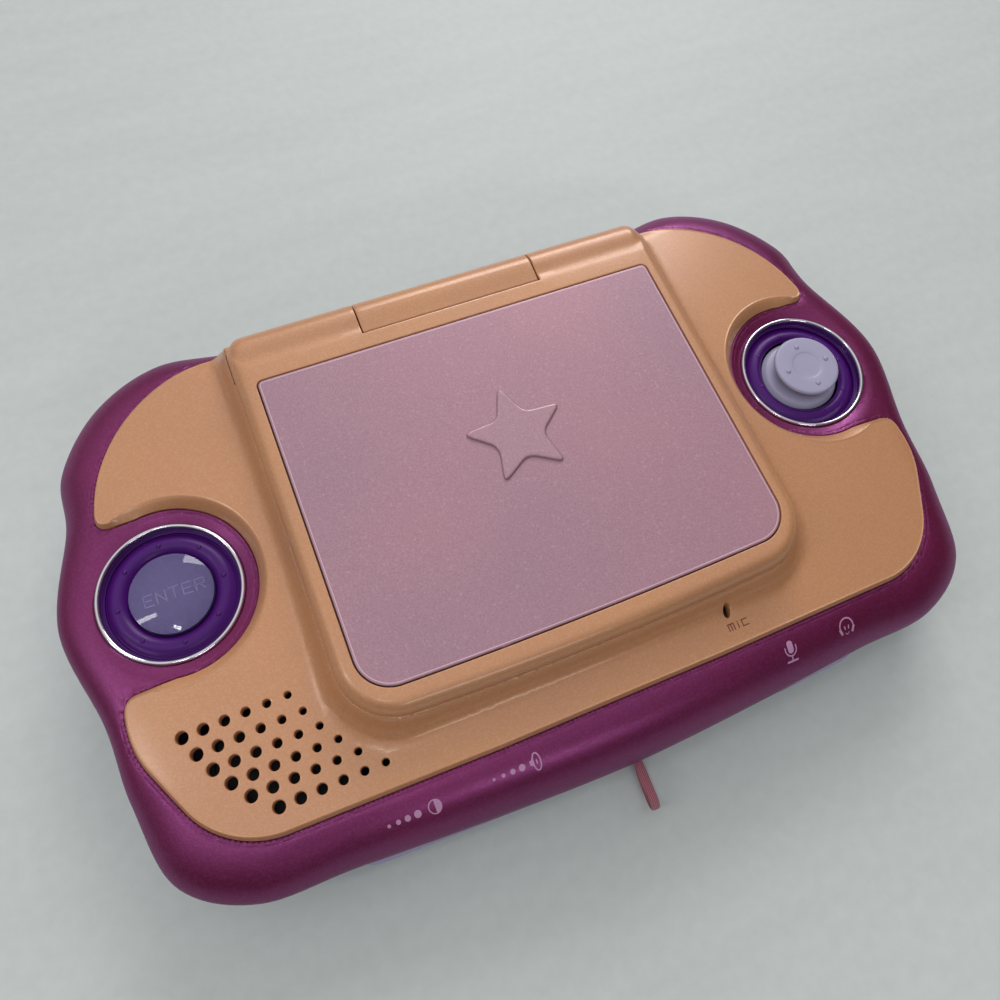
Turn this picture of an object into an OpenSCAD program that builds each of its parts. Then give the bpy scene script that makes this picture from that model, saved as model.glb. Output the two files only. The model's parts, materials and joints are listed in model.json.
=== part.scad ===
// Clamshell handheld game console: a wide two-lobed base with a round control
// pod on each side, and a screen lid hinged along its back edge.
// The lid is modelled closed. +Z is up, +Y points from the front edge to the
// hinge, and the origin is on the table below the middle of the base.

/* [Body] */
// Width across the two control pods
body_w = 248; // [244:0.5:256]
// Reach from the line of the controls to the front edge
front_reach = 80.6; // [79:0.2:86]
// Reach from the line of the controls to the tips of the back lobes
back_reach = 70.5; // [69.5:0.5:76]
// Height of the control rings above the table
ring_z = 33; // [32:0.5:38]
// Rise of the crowned deck above the rings, at the middle
crown_h = 7; // [6.5:0.1:8]
// Height of the joint between the upper and the lower shell
parting_z = 17; // [17:0.5:18]
// Height at which the upper shell is widest
waist_z = 21; // [20:0.5:22.5]
// Width of the rounded rim of the upper shell
rim_w = 13; // [11:0.5:14]
// Wall of the moulded shells
shell_wall = 2.2; // [1.8:0.1:2.4]

/* [Deck] */
// Height that the deck stands proud of the upper shell
deck_proud = 1.3; // [1:0.1:1.6]
// Thickness of the deck panel below the upper shell's surface
deck_sink = 1.4; // [1.2:0.1:1.8]
// Radius of the pod cut-outs in the deck
pod_r = 22.2; // [21.6:0.1:22.6]
// Radius of the deck's pointed corners
deck_tip_r = 2.4; // [1.5:0.1:2.8]
// Outward spread of the shoulder around the lid
shoulder_w = 5; // [4:0.5:6]

/* [Controls] */
// Distance of each control's axis from the middle plane
ring_x = 93.8; // [93:0.1:95]
// Outer radius of the chrome rings
ring_r = 18.5; // [18:0.1:19]
// Width of the chrome rings
ring_w = 1.7; // [1.4:0.1:2]
// Radius of the enter button
enter_r = 10.5; // [10:0.1:10.8]
// Travel of the enter button
enter_travel = 1.2; // [0.8:0.1:1.4]
// Radius of the joystick's cap
stick_cap_r = 9.5; // [8.5:0.1:10]
// Radius of the joystick's sliding skirt
stick_skirt_r = 9.8; // [9:0.1:10]
// Height of the joystick's pivot below the rings
stick_drop = 10.5; // [10.3:0.1:11]
// Radius of the joystick's shaft
stick_shaft_r = 2.5; // [2:0.1:3]
// Radius of the gimbal's pins
gimbal_pin_r = 1; // [0.8:0.05:1.2]

/* [Lid] */
// Half width of the lid
lid_hw = 62; // [61:0.5:62.5]
// Reach of the lid in front of the line of the controls
lid_front = 52.2; // [51:0.2:53]
// Outward bow of the lid's front edge
lid_bow = 1.3; // [0.5:0.1:1.6]
// Radius of the lid's front corners
lid_front_r = 15; // [12:0.5:17]
// Radius of the lid's back corners
lid_back_r = 3; // [2:0.5:4]
// Height of the lid's top face above the rings
lid_top = 16.3; // [15.8:0.1:17]
// Rounding of the lid's top edge
lid_round = 4.2; // [3.4:0.1:4.6]
// Half width of the clear cover panel
panel_hw = 56.6; // [55:0.2:57.4]
// Depth of the clear cover panel from front to back
panel_d = 86.6; // [84:0.2:87]
// Radius of the cover panel's front corners
panel_front_r = 9; // [7:0.5:10]
// Thickness of the cover panel
panel_t = 1.2; // [1:0.1:1.4]
// Width of the screen's window
screen_w = 76; // [70:1:84]
// Depth of the screen's window
screen_d = 58; // [52:1:62]

/* [Hinge] */
// Distance of the hinge axis behind the line of the controls
hinge_back = 51.9; // [51.5:0.1:52.4]
// Radius of the hinge barrel
barrel_r = 6.2; // [5.8:0.1:6.4]
// Half length of the middle barrel
barrel_hl = 25.8; // [22:0.2:30]
// Radius of the hinge pins
hinge_pin_r = 1.5; // [1.2:0.1:2]
// Length of each hinge pin
hinge_pin_l = 20; // [16:1:24]

/* [Touch pad and keys] */
// Width of the touch tablet
tablet_w = 72; // [66:1:76]
// Depth of the touch tablet
tablet_d = 54; // [50:1:60]
// Radius of the four round keys
key_r = 5.6; // [5:0.1:6]
// Travel of the keys
key_travel = 0.9; // [0.6:0.1:1]
// Length of the three menu keys
menu_key_l = 13; // [11:0.5:14]
// Width of the menu keys
menu_key_w = 5.5; // [5:0.1:6]

/* [Speaker] */
// Radius of the speaker
speaker_r = 18; // [16:0.5:18.5]
// Distance between holes along a row of the grille
grille_pitch = 5.2; // [4.8:0.1:5.4]
// Radius of the largest grille hole
grille_r = 1.5; // [1.2:0.05:1.7]

/* [Power and sockets] */
// Diameter of one battery cell
cell_d = 14.5; // [14:0.1:14.5]
// Length of one battery cell
cell_l = 50.5; // [49.5:0.1:50.5]
// Number of battery cells
cell_n = 4; // [4:1:4]
// Width of the cartridge slot
slot_w = 76; // [70:1:80]
// Height of the cartridge slot
slot_h = 10.6; // [10:0.2:10.8]
// Radius of the audio sockets' bores
audio_r = 1.8; // [1.7:0.05:2]
// Depth of the audio sockets
audio_l = 14; // [12:0.5:16]
// Radius of the power socket's bore
power_r = 2.8; // [2.6:0.1:3]
// Radius of the thumbwheels
wheel_r = 11; // [10:0.5:12]
// Thickness of the thumbwheels
wheel_t = 4; // [3:0.1:4.4]
// Radius of the stylus
stylus_r = 3.2; // [2.8:0.1:3.5]
// Length of the stylus
stylus_l = 92; // [80:1:96]

/* [Base] */
// Height of the rubber feet below the lower shell
foot_h = 1; // [0.8:0.1:1.4]
// Radius of the rubber feet
foot_r = 5; // [4:0.5:6]
// Radius of the case screws
screw_r = 1.4; // [1.2:0.1:1.6]
// Width of the woven tape of the front loop
tape_w = 2.4; // [2:0.1:2.6]

/* [Fits] */
// Gap between fixed parts that seat on each other
seat = 0.15; // [0.1:0.05:0.2]
// Gap beside parts that move
slide_gap = 0.3; // [0.25:0.05:0.4]
// Radial clearance of a pin that turns in its bore
run_fit = 0.05; // [0.03:0.01:0.08]

/* [Hidden] */
$fn = 48;

peach = "sandybrown";
magenta = "mediumvioletred";
lilac = "thistle";
violet = "indigo";

// The line of the controls lies so that the body is centred on the origin.
ring_y = (front_reach - back_reach) / 2;
half_w = body_w / 2;
front_y = ring_y - front_reach;
back_y = ring_y + back_reach;

// ---- outline of the body ----
// Half outline from the middle of the back, round the right side, to the
// middle of the front: back wall, lobe, upper waist, pod, lower waist, corner.
lobe_x = half_w - 42;
wall_inset = 4.5;
half_outline = [
    [0, back_y - wall_inset],
    [lobe_x - 52, back_y - wall_inset],
    [lobe_x - 24, back_y - wall_inset + 0.6],
    [lobe_x, back_y],
    [half_w - 22, back_y - 7.9],
    [half_w - 8.8, back_y - 24.5],
    [half_w - 6.7, ring_y + 28],
    [half_w, ring_y + 2],
    [half_w - 5.4, ring_y - 25],
    [half_w - 6.6, ring_y - 45],
    [half_w - 11.4, front_y + 14.6],
    [half_w - 28, front_y + 3.8],
    [half_w - 52, front_y + 2.4],
    [half_w - 84, front_y + 1],
    [0, front_y]
];
half_n = len(half_outline);
outline_keys = concat(
    half_outline,
    [for (i = [half_n - 2 : -1 : 1]) [-half_outline[i][0], half_outline[i][1]]]
);

// Catmull-Rom curve through a closed list of points.
function wrap(i, n) = (i + n) % n;
function curve_point(p0, p1, p2, p3, t) =
    0.5 * (2 * p1 + (p2 - p0) * t + (2 * p0 - 5 * p1 + 4 * p2 - p3) * t * t
        + (3 * p1 - p0 - 3 * p2 + p3) * t * t * t);
function closed_curve(keys, steps) = [
    for (i = [0 : len(keys) - 1], k = [0 : steps - 1])
        curve_point(keys[wrap(i - 1, len(keys))], keys[i],
            keys[wrap(i + 1, len(keys))], keys[wrap(i + 2, len(keys))], k / steps)
];
outline = closed_curve(outline_keys, 3);
outline_n = len(outline);
// Inward normals: the outline runs clockwise seen from above.
function inward(points, i) =
    let (n = len(points), d = points[wrap(i + 1, n)] - points[wrap(i - 1, n)])
    [d[1], -d[0]] / norm(d);
inward_normals = [for (i = [0 : outline_n - 1]) inward(outline, i)];
function inset_point(i, d) = outline[i] + inward_normals[i] * d;

// ---- crowned top surface ----
// The surface falls away from its highest point towards the sides and corners.
crown_centre_y = ring_y + 8;
crown_x = 1800;
crown_y = 1700;
function crown(p) =
    ring_z + crown_h - p[0] * p[0] / crown_x
    - (p[1] - crown_centre_y) * (p[1] - crown_centre_y) / crown_y;

// Closed surface through rings of equal length, each running clockwise seen
// from above, from the lowest to the highest, with a fan at each end.
module lofted(rings, low_mid, high_mid) {
    n = len(rings[0]);
    m = len(rings);
    points = concat([for (r = rings) each r], [low_mid, high_mid]);
    sides = [
        for (j = [0 : m - 2], i = [0 : n - 1])
            let (a = j * n + i, b = j * n + (i + 1) % n)
            each [[a, b, b + n], [a, b + n, a + n]]
    ];
    low = [for (i = [0 : n - 1]) [m * n, (i + 1) % n, i]];
    high = [for (i = [0 : n - 1]) [m * n + 1, (m - 1) * n + i, (m - 1) * n + (i + 1) % n]];
    polyhedron(points = points, faces = concat(sides, low, high), convexity = 6);
}

// Upper body form: straight skirt, rounded rim, then the crowned top. "lift"
// raises the top and "inset" draws the sides in, so copies nest as walls.
rim_angles = [0, 22, 44, 66, 90];
skirt_draft = 0.5;
function top_point(p, lift) = [p[0], p[1], crown(p) + lift];
function rim_ring(a, lift, inset) = [
    for (i = [0 : outline_n - 1])
        let (p = inset_point(i, inset + rim_w * (1 - cos(a))))
        [p[0], p[1], waist_z + (crown(p) + lift - waist_z) * sin(a)]
];
function crown_ring(f, lift, inset) = [
    for (i = [0 : outline_n - 1])
        let (q = inset_point(i, inset + rim_w), p = [q[0] * f, ring_y + (q[1] - ring_y) * f])
        top_point(p, lift)
];
function flat_ring(z, inset) = [
    for (i = [0 : outline_n - 1]) let (p = inset_point(i, inset)) [p[0], p[1], z]
];
module upper_form(lift, inset, low_z) {
    rings = concat(
        [flat_ring(low_z, inset + skirt_draft)],
        [for (a = rim_angles) rim_ring(a, lift, inset)],
        [for (f = [0.7, 0.35]) crown_ring(f, lift, inset)]
    );
    lofted(rings, [0, ring_y, low_z], top_point([0, ring_y], lift));
}

// Lower body form: a tub that rounds in under the parting line.
tub_lip = 0.9;
tub_round = 12;
tub_angles = [90, 66, 44, 22, 0];
module lower_form(inset, floor_z, top_z) {
    rings = concat(
        [for (a = tub_angles) flat_ring(
            top_z - (top_z - floor_z) * sin(a), inset + tub_lip + tub_round * (1 - cos(a)))]
    );
    lofted(rings, [0, ring_y, floor_z], [0, ring_y, top_z]);
}
lower_top = parting_z - seat;

// ---- plan shapes ----
// Each side of the deck is bounded by three arcs and the pod cut-out.
module deck_field() {
    hull() {
        for (s = [-1, 1]) {
            translate([s * (half_w - 57.5), back_y - 51]) circle(r = 41, $fn = 72);
            translate([s * (half_w - 36.5), ring_y - 30]) circle(r = 24.5, $fn = 64);
            translate([s * (half_w - 41.5), front_y + 39.1]) circle(r = 24, $fn = 64);
            translate([s * 30, front_y + 14 + 5]) circle(r = 5, $fn = 24);
        }
    }
}
module pod_field() {
    for (s = [-1, 1]) {
        translate([s * ring_x, ring_y]) circle(r = pod_r, $fn = 72);
        translate([s * (ring_x + 25), ring_y]) square([50, 2 * pod_r - 0.6], center = true);
    }
}
module deck_plan(grow) {
    offset(delta = grow) offset(r = deck_tip_r, $fn = 32) offset(delta = -deck_tip_r)
        difference() {
            deck_field();
            pod_field();
        }
}

// The lid's outline, drawn clockwise and spread outwards by "o".
hinge_y = ring_y + hinge_back;
hinge_z = ring_z + lid_top - 6;
lid_front_y = ring_y - lid_front;
function arc(c, r, a0, a1, n) = [
    for (k = [0 : n]) let (a = a0 + (a1 - a0) * k / n) [c[0] + r * cos(a), c[1] + r * sin(a)]
];
function lid_loop(o, back = 0) =
    let (
        w = lid_hw + o,
        f = lid_front_y - o,
        b = hinge_y + back + o,
        rf = max(lid_front_r + o, 0.6),
        rb = max(lid_back_r + o, 0.6),
        flat_w = w - rf,
        side = concat(
            arc([w - rb, b - rb], rb, 90, 0, 3),
            arc([w - rf, f + rf], rf, 0, -90, 6)
        ),
        front = [
            for (k = [1 : 7])
                let (x = flat_w * (1 - k / 4))
                [x, f - lid_bow * (1 - pow(x / flat_w, 2))]
        ],
        other = [for (i = [len(side) - 1 : -1 : 0]) [-side[i][0], side[i][1]]]
    )
    concat(side, front, other);
function lid_ring(o, z, back = 0) = [for (p = lid_loop(o, back)) [p[0], p[1], z]];
module lid_plate(o, z0, z1, back = 0) {
    translate([0, 0, z0]) linear_extrude(z1 - z0) polygon(lid_loop(o, back));
}
module rounded_box(w, d, r) {
    offset(r = r, $fn = 32) square([w - 2 * r, d - 2 * r], center = true);
}

// ---- levels of the lid and of what lies under it ----
lid_split_z = hinge_z + 1.3;
lid_face_z = ring_z + lid_top;
shoulder_top_z = lid_split_z - slide_gap;
nest_o = -3.4;
recess_inset = -8.4;
tray_lip = 2.5;
recess_o = nest_o + 0.4;
recess_back = recess_inset - recess_o;
nest_z = ring_z + 5.9;
tray_z = ring_z + 3;
tray_t = 2;
key_rise = 1.4;

// ---- base ----
battery_pitch = cell_d + 0.5;
bay_w = battery_pitch * cell_n + 2;
bay_d = cell_l + 5.5;
bay_y = front_y + 24 + bay_d / 2;
bay_wall = 1.6;
door_t = 2;
cell_z = foot_h + door_t + 0.3 + cell_d / 2;
bay_top_z = cell_z + cell_d / 2 + 0.3;
board_z = bay_top_z + 1.4 + 0.3;
board_t = 1.6;
board_front = front_y + 14;
board_back = ring_y + 36;
board_hw = 58;
board_wing = ring_x + 14;
board_posts = [[board_hw - 5, board_front + 17], [board_hw - 5, board_back - 5], [board_hw + 14, ring_y + 9]];
case_screws_at = [[half_w - 23, front_y + 20.5], [half_w - 22.5, back_y - 34.5], [half_w - 52, back_y - 14.5]];
screw_head_r = screw_r * 2;
screw_l = 20;
screw_head_z = foot_h + 3.2;
boss_r = screw_r + 2.4;

slot_wall = 1.2;
slot_floor_z = foot_h + shell_wall + 0.2 + slot_wall;
slot_len = 52;
slot_back_y = back_y - wall_inset;

audio_at = [[48, front_y + 2.6], [67, front_y + 3.7]];
audio_z = parting_z - 4;
audio_out_r = audio_r + 2.2;
power_x = 12 - case_screws_at[2][0];
power_face_y = back_y - wall_inset - 1.2;
power_z = audio_z - 2;

wheel_at = [[-57, front_y + 0.9 + wheel_r], [-27, front_y - 0.3 + wheel_r]];
wheel_z = parting_z - 1.4 - wheel_t;
wheel_pin_r = 2;

stylus_y = ring_y + 43;
stylus_z = ring_z - 9;
stylus_end_x = half_w - 10;
stylus_wall = 1.2;
stylus_bore = stylus_r + slide_gap;

loop_x = 5.5;
loop_w = 7;
loop_low_z = foot_h + 3.6;
loop_high_z = parting_z - 3.2;

foot_at = [[half_w - 46, front_y + 26], [half_w - 46, back_y - 30]];
foot_inset = 0.6;

grille_rows = [
    [-99.9, -36.0], [-97.7, -40.9], [-95.1, -45.6], [-92.0, -50.1], [-88.6, -54.5], [-83.4, -59.2]
];
grille_n = 6;
speaker_x = -ring_x + 13;
speaker_y = ring_y - 47.4;
speaker_t = 8;
speaker_z = ring_z - 5.2;
mic_at = [35.2, ring_y - 56.9];
mic_r = 3;
mic_z = ring_z + 2;

module battery_box(grow) {
    translate([0, bay_y]) square([bay_w + 2 * grow, bay_d + 2 * grow], center = true);
}

module lower_shell() color(lilac) difference() {
    union() {
        difference() {
            lower_form(0, foot_h, lower_top);
            difference() {
                lower_form(shell_wall, foot_h + shell_wall, lower_top + 0.01 + shell_wall);
                for (s = [-1, 1]) for (p = case_screws_at)
                    translate([s * p[0], p[1], 0]) cylinder(r = boss_r, h = parting_z + 5);
            }
        }
        translate([0, 0, foot_h]) linear_extrude(bay_top_z + bay_wall - foot_h)
            battery_box(bay_wall);
        for (s = [-1, 1]) for (p = board_posts)
            translate([s * p[0], p[1], foot_h + 1]) cylinder(r = 3, h = board_z - foot_h - 1);
        for (p = wheel_at) translate([p[0], p[1], foot_h + 1]) {
            cylinder(r = 4, h = wheel_z - slide_gap - foot_h - 1);
            cylinder(r = wheel_pin_r - run_fit, h = wheel_z + wheel_t - foot_h - 1);
        }
        translate([0, door_screw_y, door_tab_top]) cylinder(r = boss_r, h = 7);
    }
    translate([0, 0, foot_h - 1]) linear_extrude(bay_top_z - foot_h + 1) battery_box(0);
    for (s = [-1, 1]) for (p = case_screws_at) {
        translate([s * p[0], p[1], 0]) cylinder(r = screw_r + run_fit, h = parting_z + 1);
        translate([s * p[0], p[1], 0]) cylinder(r = screw_head_r + seat, h = screw_head_z);
    }
    for (s = [-1, 1]) for (p = foot_at)
        translate([s * p[0], p[1], 0]) cylinder(r = foot_r + seat, h = foot_h + foot_inset);
    translate([0, slot_back_y, slot_floor_z + slot_h / 2])
        cube([slot_w + 2 * slot_wall + 2 * seat, 30, slot_h + 2 * slot_wall + 2 * seat], center = true);
    for (p = audio_at)
        translate([p[0], p[1] - 3, audio_z]) rotate([-90, 0, 0]) cylinder(r = audio_out_r + seat, h = 12);
    translate([power_x, back_y + 1, power_z]) rotate([90, 0, 0]) cylinder(r = power_r + 2 + seat, h = 14);
    for (p = wheel_at)
        translate([p[0], p[1], wheel_z - slide_gap]) difference() {
            cylinder(r = wheel_r + slide_gap, h = wheel_t + 2 * slide_gap);
            translate([0, 0, -1]) cylinder(r = wheel_pin_r + 1, h = wheel_t + 3);
        }
    translate([loop_x, front_y + 4, (loop_low_z + loop_high_z) / 2])
        cube([loop_w, 14, loop_high_z - loop_low_z], center = true);
    linear_extrude(door_tab_top) door_tab_plan(0);
    for (s = [-1, 1]) translate([s * bay_w / 4, door_front_y - 1, foot_h + shell_wall + 1.5])
        cube([tongue_w + 2 * door_gap, 5, 2.8], center = true);
    translate([0, door_screw_y, 0]) cylinder(r = screw_r + 0.6, h = door_tab_top + 6);
}

// The battery door hooks in at its front edge; a captive screw holds its tab.
door_gap = slide_gap;
door_front_y = bay_y - bay_d / 2;
door_edge_r = door_t / 2 - 0.02;
door_hinge_y = door_front_y + door_gap + door_edge_r;
door_hinge_z = foot_h + door_t / 2;
door_screw_y = bay_y + bay_d / 2 + 5;
door_hw = bay_w / 2 - door_gap;
door_tab_w = 18;
door_tab_l = 11;
door_tab_top = foot_h + shell_wall + 0.1;
tongue_w = 8;
tongue_t = 1;
tongue_reach = 1.6;
tongue_z = foot_h + shell_wall + 0.2;
module door_tab_plan(grow) {
    translate([0, bay_y + bay_d / 2 + door_tab_l / 2 - 1])
        square([door_tab_w + 2 * grow, door_tab_l + 2 + 2 * grow], center = true);
}

// Upper shell: a rim around the deck with a ledge that carries the deck, and
// a solid pod on each side, bored for its ring and dish.
ledge_w = 2.5;
ledge_t = 1.6;
pod_block_z = ring_z - 8;
left_dish_bottom = ring_z - 3.6;
right_dish_bottom = ring_z - 6.7;
module upper_shell() color(magenta) difference() {
    union() {
        difference() {
            upper_form(0, 0, parting_z);
            upper_form(-shell_wall, shell_wall, parting_z - 1);
            translate([0, 0, parting_z - 2]) linear_extrude(60) deck_plan(seat);
        }
        intersection() {
            upper_form(-deck_sink - seat, 0.4, parting_z);
            union() {
                difference() {
                    linear_extrude(80) difference() {
                        deck_plan(1);
                        deck_plan(-ledge_w);
                    }
                    upper_form(-deck_sink - seat - ledge_t, shell_wall, parting_z - 2);
                    translate([speaker_x, speaker_y, parting_z]) cylinder(r = speaker_r + slide_gap, h = 40);
                }
                for (s = [-1, 1]) {
                    translate([s * ring_x, ring_y, pod_block_z]) cylinder(r = pod_r + 0.6, h = 20);
                    for (p = case_screws_at)
                        translate([s * p[0], p[1], parting_z]) cylinder(r = boss_r, h = 30);
                }
            }
        }
    }
    for (s = [-1, 1]) {
        translate([s * ring_x, ring_y, ring_z]) cylinder(r1 = ring_r + seat, r2 = ring_r + seat + 12, h = 12);
        translate([s * ring_x, ring_y, ring_z - 2]) cylinder(r = ring_r + seat, h = 4);
        translate([s * ring_x, ring_y, ring_z - 20]) cylinder(r = dish_hole_r, h = 40);
        for (p = case_screws_at)
            translate([s * p[0], p[1], parting_z - 1]) cylinder(r = screw_r, h = screw_l - 8);
    }
    translate([-ring_x, ring_y, left_dish_bottom]) cylinder(r = dish_r + seat, h = 10);
    translate([ring_x, ring_y, right_dish_bottom]) cylinder(r = dish_r + seat, h = 10);
    translate([half_w - 30, stylus_y, stylus_z]) rotate([0, 90, 0])
        cylinder(r = stylus_bore + stylus_wall + seat, h = 40);
}

// Shoulder: the deck sweeps up around the lid. Each entry is a height above
// the rings and a spread beyond the lid's edge.
shoulder_profile = [
    [-1, 0.6], [2.4, 0.6], [3, 5], [5, 3.7], [6.6, 2.6], [8.3, 1.7], [9.7, 1.1], [10.6, 0.7]
];
function shoulder_spread(q) = q[1] > 0.61 ? q[1] * shoulder_w / 5 : q[1];
module shoulder() {
    rings = concat(
        [for (q = shoulder_profile)
            lid_ring(shoulder_spread(q), ring_z + q[0], barrel_r - (q[0] < 2.5 ? 1.2 : 0))],
        [lid_ring(0.2, shoulder_top_z, barrel_r)]
    );
    intersection() {
        lofted(rings, [0, 0, ring_z + shoulder_profile[0][0]], [0, 0, shoulder_top_z]);
        linear_extrude(80) deck_plan(0);
    }
}
trough_r = barrel_r + 0.5;
module hinge_bar(r, x0, x1) {
    translate([x0, hinge_y, hinge_z]) rotate([0, 90, 0]) cylinder(r = r, h = x1 - x0);
}
module grille_holes() {
    for (q = [0 : len(grille_rows) - 1], k = [0 : grille_n - 1])
        translate([grille_rows[q][0] + k * grille_pitch, ring_y + grille_rows[q][1], ring_z - 8])
            cylinder(r = grille_r - 0.13 * k, h = 24, $fn = 24);
}
module deck_panel() color(peach) difference() {
    union() {
        intersection() {
            upper_form(deck_proud, 0, parting_z);
            union() {
                difference() {
                    linear_extrude(80) deck_plan(0);
                    upper_form(-deck_sink, 0, parting_z - 5);
                }
                hinge_bar(trough_r + 1.8, -lid_hw, lid_hw);
                translate([speaker_x, speaker_y, speaker_z + 0.3]) difference() {
                    cylinder(r = speaker_r, h = 12);
                    translate([0, 0, -1]) cylinder(r = speaker_r - 1.6, h = 20);
                }
                translate([mic_at[0], mic_at[1], mic_z - 4]) cylinder(r = mic_r + 1.4, h = 9);
            }
        }
        shoulder();
    }
    lid_plate(recess_o, tray_z - tray_t, shoulder_top_z + 1, recess_back);
    lid_plate(recess_o - tray_lip, 0, tray_z, recess_back);
    hinge_bar(trough_r, -lid_hw - 0.4, lid_hw + 0.4);
    translate([0, hinge_y + 20, ring_z + 16.9]) cube([2 * lid_hw + 0.8, 42, 20], center = true);
    grille_holes();
    translate([mic_at[0], mic_at[1], mic_z - 5]) cylinder(r = mic_r + seat, h = 5);
    translate([mic_at[0], mic_at[1], mic_z - 1]) linear_extrude(12) hull()
        for (s = [-1, 1]) translate([s * 0.3, s * 0.7]) circle(r = 0.7, $fn = 24);
}

module control_ring() {
    color("silver") rotate_extrude($fn = 96)
        translate([ring_r - ring_w, 0]) union() {
            translate([0, -2 + seat]) square([ring_w, 2]);
            translate([ring_w / 2, 0]) circle(r = ring_w / 2, $fn = 32);
        }
}
module left_ring() translate([-ring_x, ring_y, ring_z]) control_ring();
module right_ring() translate([ring_x, ring_y, ring_z]) control_ring();

// Glossy dished collars inside the rings.
dish_r = ring_r - ring_w - seat;
dish_hole_r = 13;
dish_crest = dish_r - 3.3;
module dish(bottom_z, crest_z, hole_r, floor_r) {
    rotate_extrude($fn = 96) polygon(concat(
        [[hole_r, bottom_z], [dish_r, bottom_z], [dish_r, -3.2], [dish_r - 1.2, -3.2]],
        [for (a = [0 : 20 : 120]) [dish_crest + 2.2 * cos(a), crest_z - 2 + 2 * sin(a)]],
        floor_r > hole_r ? [[floor_r, bottom_z + 1], [hole_r, bottom_z + 1]] : [[hole_r, crest_z - 0.5]]
    ));
}
module dish_bumps(crest_z) {
    for (k = [0 : 7]) rotate([0, 0, (k + 0.5) * 45])
        translate([dish_crest, 0, crest_z - 0.2]) sphere(r = 0.6, $fn = 16);
}
enter_gap = 0.25;
module left_dish() color(violet) translate([-ring_x, ring_y, ring_z]) {
    dish(left_dish_bottom - ring_z, -0.4, enter_r + enter_gap, enter_r + enter_gap + 0.6);
    dish_bumps(-0.4);
}
module right_dish() color(violet) translate([ring_x, ring_y, ring_z]) {
    dish(right_dish_bottom - ring_z, -0.9, stick_skirt_r + 2.05, 0);
    dish_bumps(-0.9);
}

// Fixed middle barrel with a short apron in front, on a web from the deck.
apron_r = barrel_r + 1.9;
module hinge_cover() color(peach) difference() {
    translate([-barrel_hl, hinge_y, hinge_z]) rotate([90, 0, 90]) linear_extrude(2 * barrel_hl) union() {
        circle(r = barrel_r, $fn = 96);
        intersection() {
            circle(r = apron_r, $fn = 96);
            translate([-9, lid_split_z - hinge_z]) square([9, 4.1]);
        }
        intersection() {
            circle(r = trough_r - seat, $fn = 96);
            translate([-3, -trough_r]) square([6, trough_r]);
        }
    }
    hinge_bar(hinge_pin_r + seat, -barrel_hl - 1, barrel_hl + 1);
}
module hinge_pins() color("silver") {
    for (s = [-1, 1]) translate([s * barrel_hl, 0, 0])
        hinge_bar(hinge_pin_r, -hinge_pin_l / 2, hinge_pin_l / 2);
}

tablet_y = ring_y - 8;
tablet_t = 1.2;
key_x = 47;
key_dy = 12;
menu_y = ring_y + 31;
menu_pitch = 24;
module tray_plan() { polygon(lid_loop(recess_o - seat, recess_back)); }
function key_at(side, row) = [side * key_x, tablet_y + 2 + row * key_dy];
key_posts = [[52, ring_y - 40], [52, ring_y + 36]];
module tablet_frame() color("plum") difference() {
    union() {
        translate([0, 0, tray_z - tray_t]) linear_extrude(tray_t) tray_plan();
        for (s = [-1, 1]) for (p = key_posts)
            translate([s * p[0], p[1], key_board_z + board_t]) cylinder(r = 2.5, h = tray_z - 1 - key_board_z - board_t);
    }
    translate([0, tablet_y, tray_z - tablet_t - 0.2]) linear_extrude(5) rounded_box(tablet_w + 2 * seat, tablet_d + 2 * seat, 3);
    translate([0, tablet_y, tray_z - 5]) linear_extrude(9) rounded_box(tablet_w - 6, tablet_d - 6, 2);
    for (side = [-1, 1], row = [-1, 1])
        translate([key_at(side, row)[0], key_at(side, row)[1], tray_z - 9]) cylinder(r = key_r + slide_gap, h = 18);
    for (k = [-1 : 1]) translate([k * menu_pitch, menu_y, tray_z - 9])
        linear_extrude(18) menu_plan(slide_gap);
}
module menu_plan(grow) {
    offset(r = grow, $fn = 32) hull() for (s = [-1, 1])
        translate([s * (menu_key_l - menu_key_w) / 2, 0]) circle(d = menu_key_w, $fn = 32);
}
module touch_tablet() color("dimgray")
    translate([0, tablet_y, tray_z - tablet_t]) linear_extrude(tablet_t - 0.2) rounded_box(tablet_w, tablet_d, 3);

key_flange_t = 1.1;
key_flange_z = tray_z - tray_t - slide_gap - key_flange_t;
membrane_t = 1.2;
membrane_z = key_flange_z - key_travel - slide_gap - membrane_t;
key_board_z = membrane_z - board_t;
module round_key(side, row) translate([key_at(side, row)[0], key_at(side, row)[1], 0]) {
    translate([0, 0, key_flange_z]) cylinder(r = key_r + 1.2, h = key_flange_t);
    translate([0, 0, key_flange_z]) cylinder(r = key_r, h = tray_z + key_rise - 0.6 - key_flange_z);
    translate([0, 0, tray_z + key_rise - 0.6]) cylinder(r1 = key_r, r2 = key_r - 0.9, h = 0.6);
}
module key_red() color("crimson") round_key(-1, 1);
module key_yellow() color("gold") round_key(-1, -1);
module key_blue() color("royalblue") round_key(1, 1);
module key_green() color("mediumseagreen") round_key(1, -1);
module menu_key(k) color(lilac) translate([k * menu_pitch, menu_y, 0]) {
    translate([0, 0, key_flange_z]) linear_extrude(key_flange_t) menu_plan(1.2);
    translate([0, 0, key_flange_z]) linear_extrude(tray_z + key_rise - key_flange_z) menu_plan(0);
}
module key_menu_left() menu_key(-1);
module key_menu_middle() menu_key(0);
module key_menu_right() menu_key(1);
pad_hw = 55;
module pad_plan() {
    translate([-pad_hw, ring_y - 44]) square([2 * pad_hw, 84]);
}
module key_membrane() color("gainsboro") difference() {
    translate([0, 0, membrane_z]) linear_extrude(membrane_t) pad_plan();
    for (s = [-1, 1]) for (p = key_posts)
        translate([s * p[0], p[1], membrane_z - 1]) cylinder(r = 2.5 + seat, h = 6);
}
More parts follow.
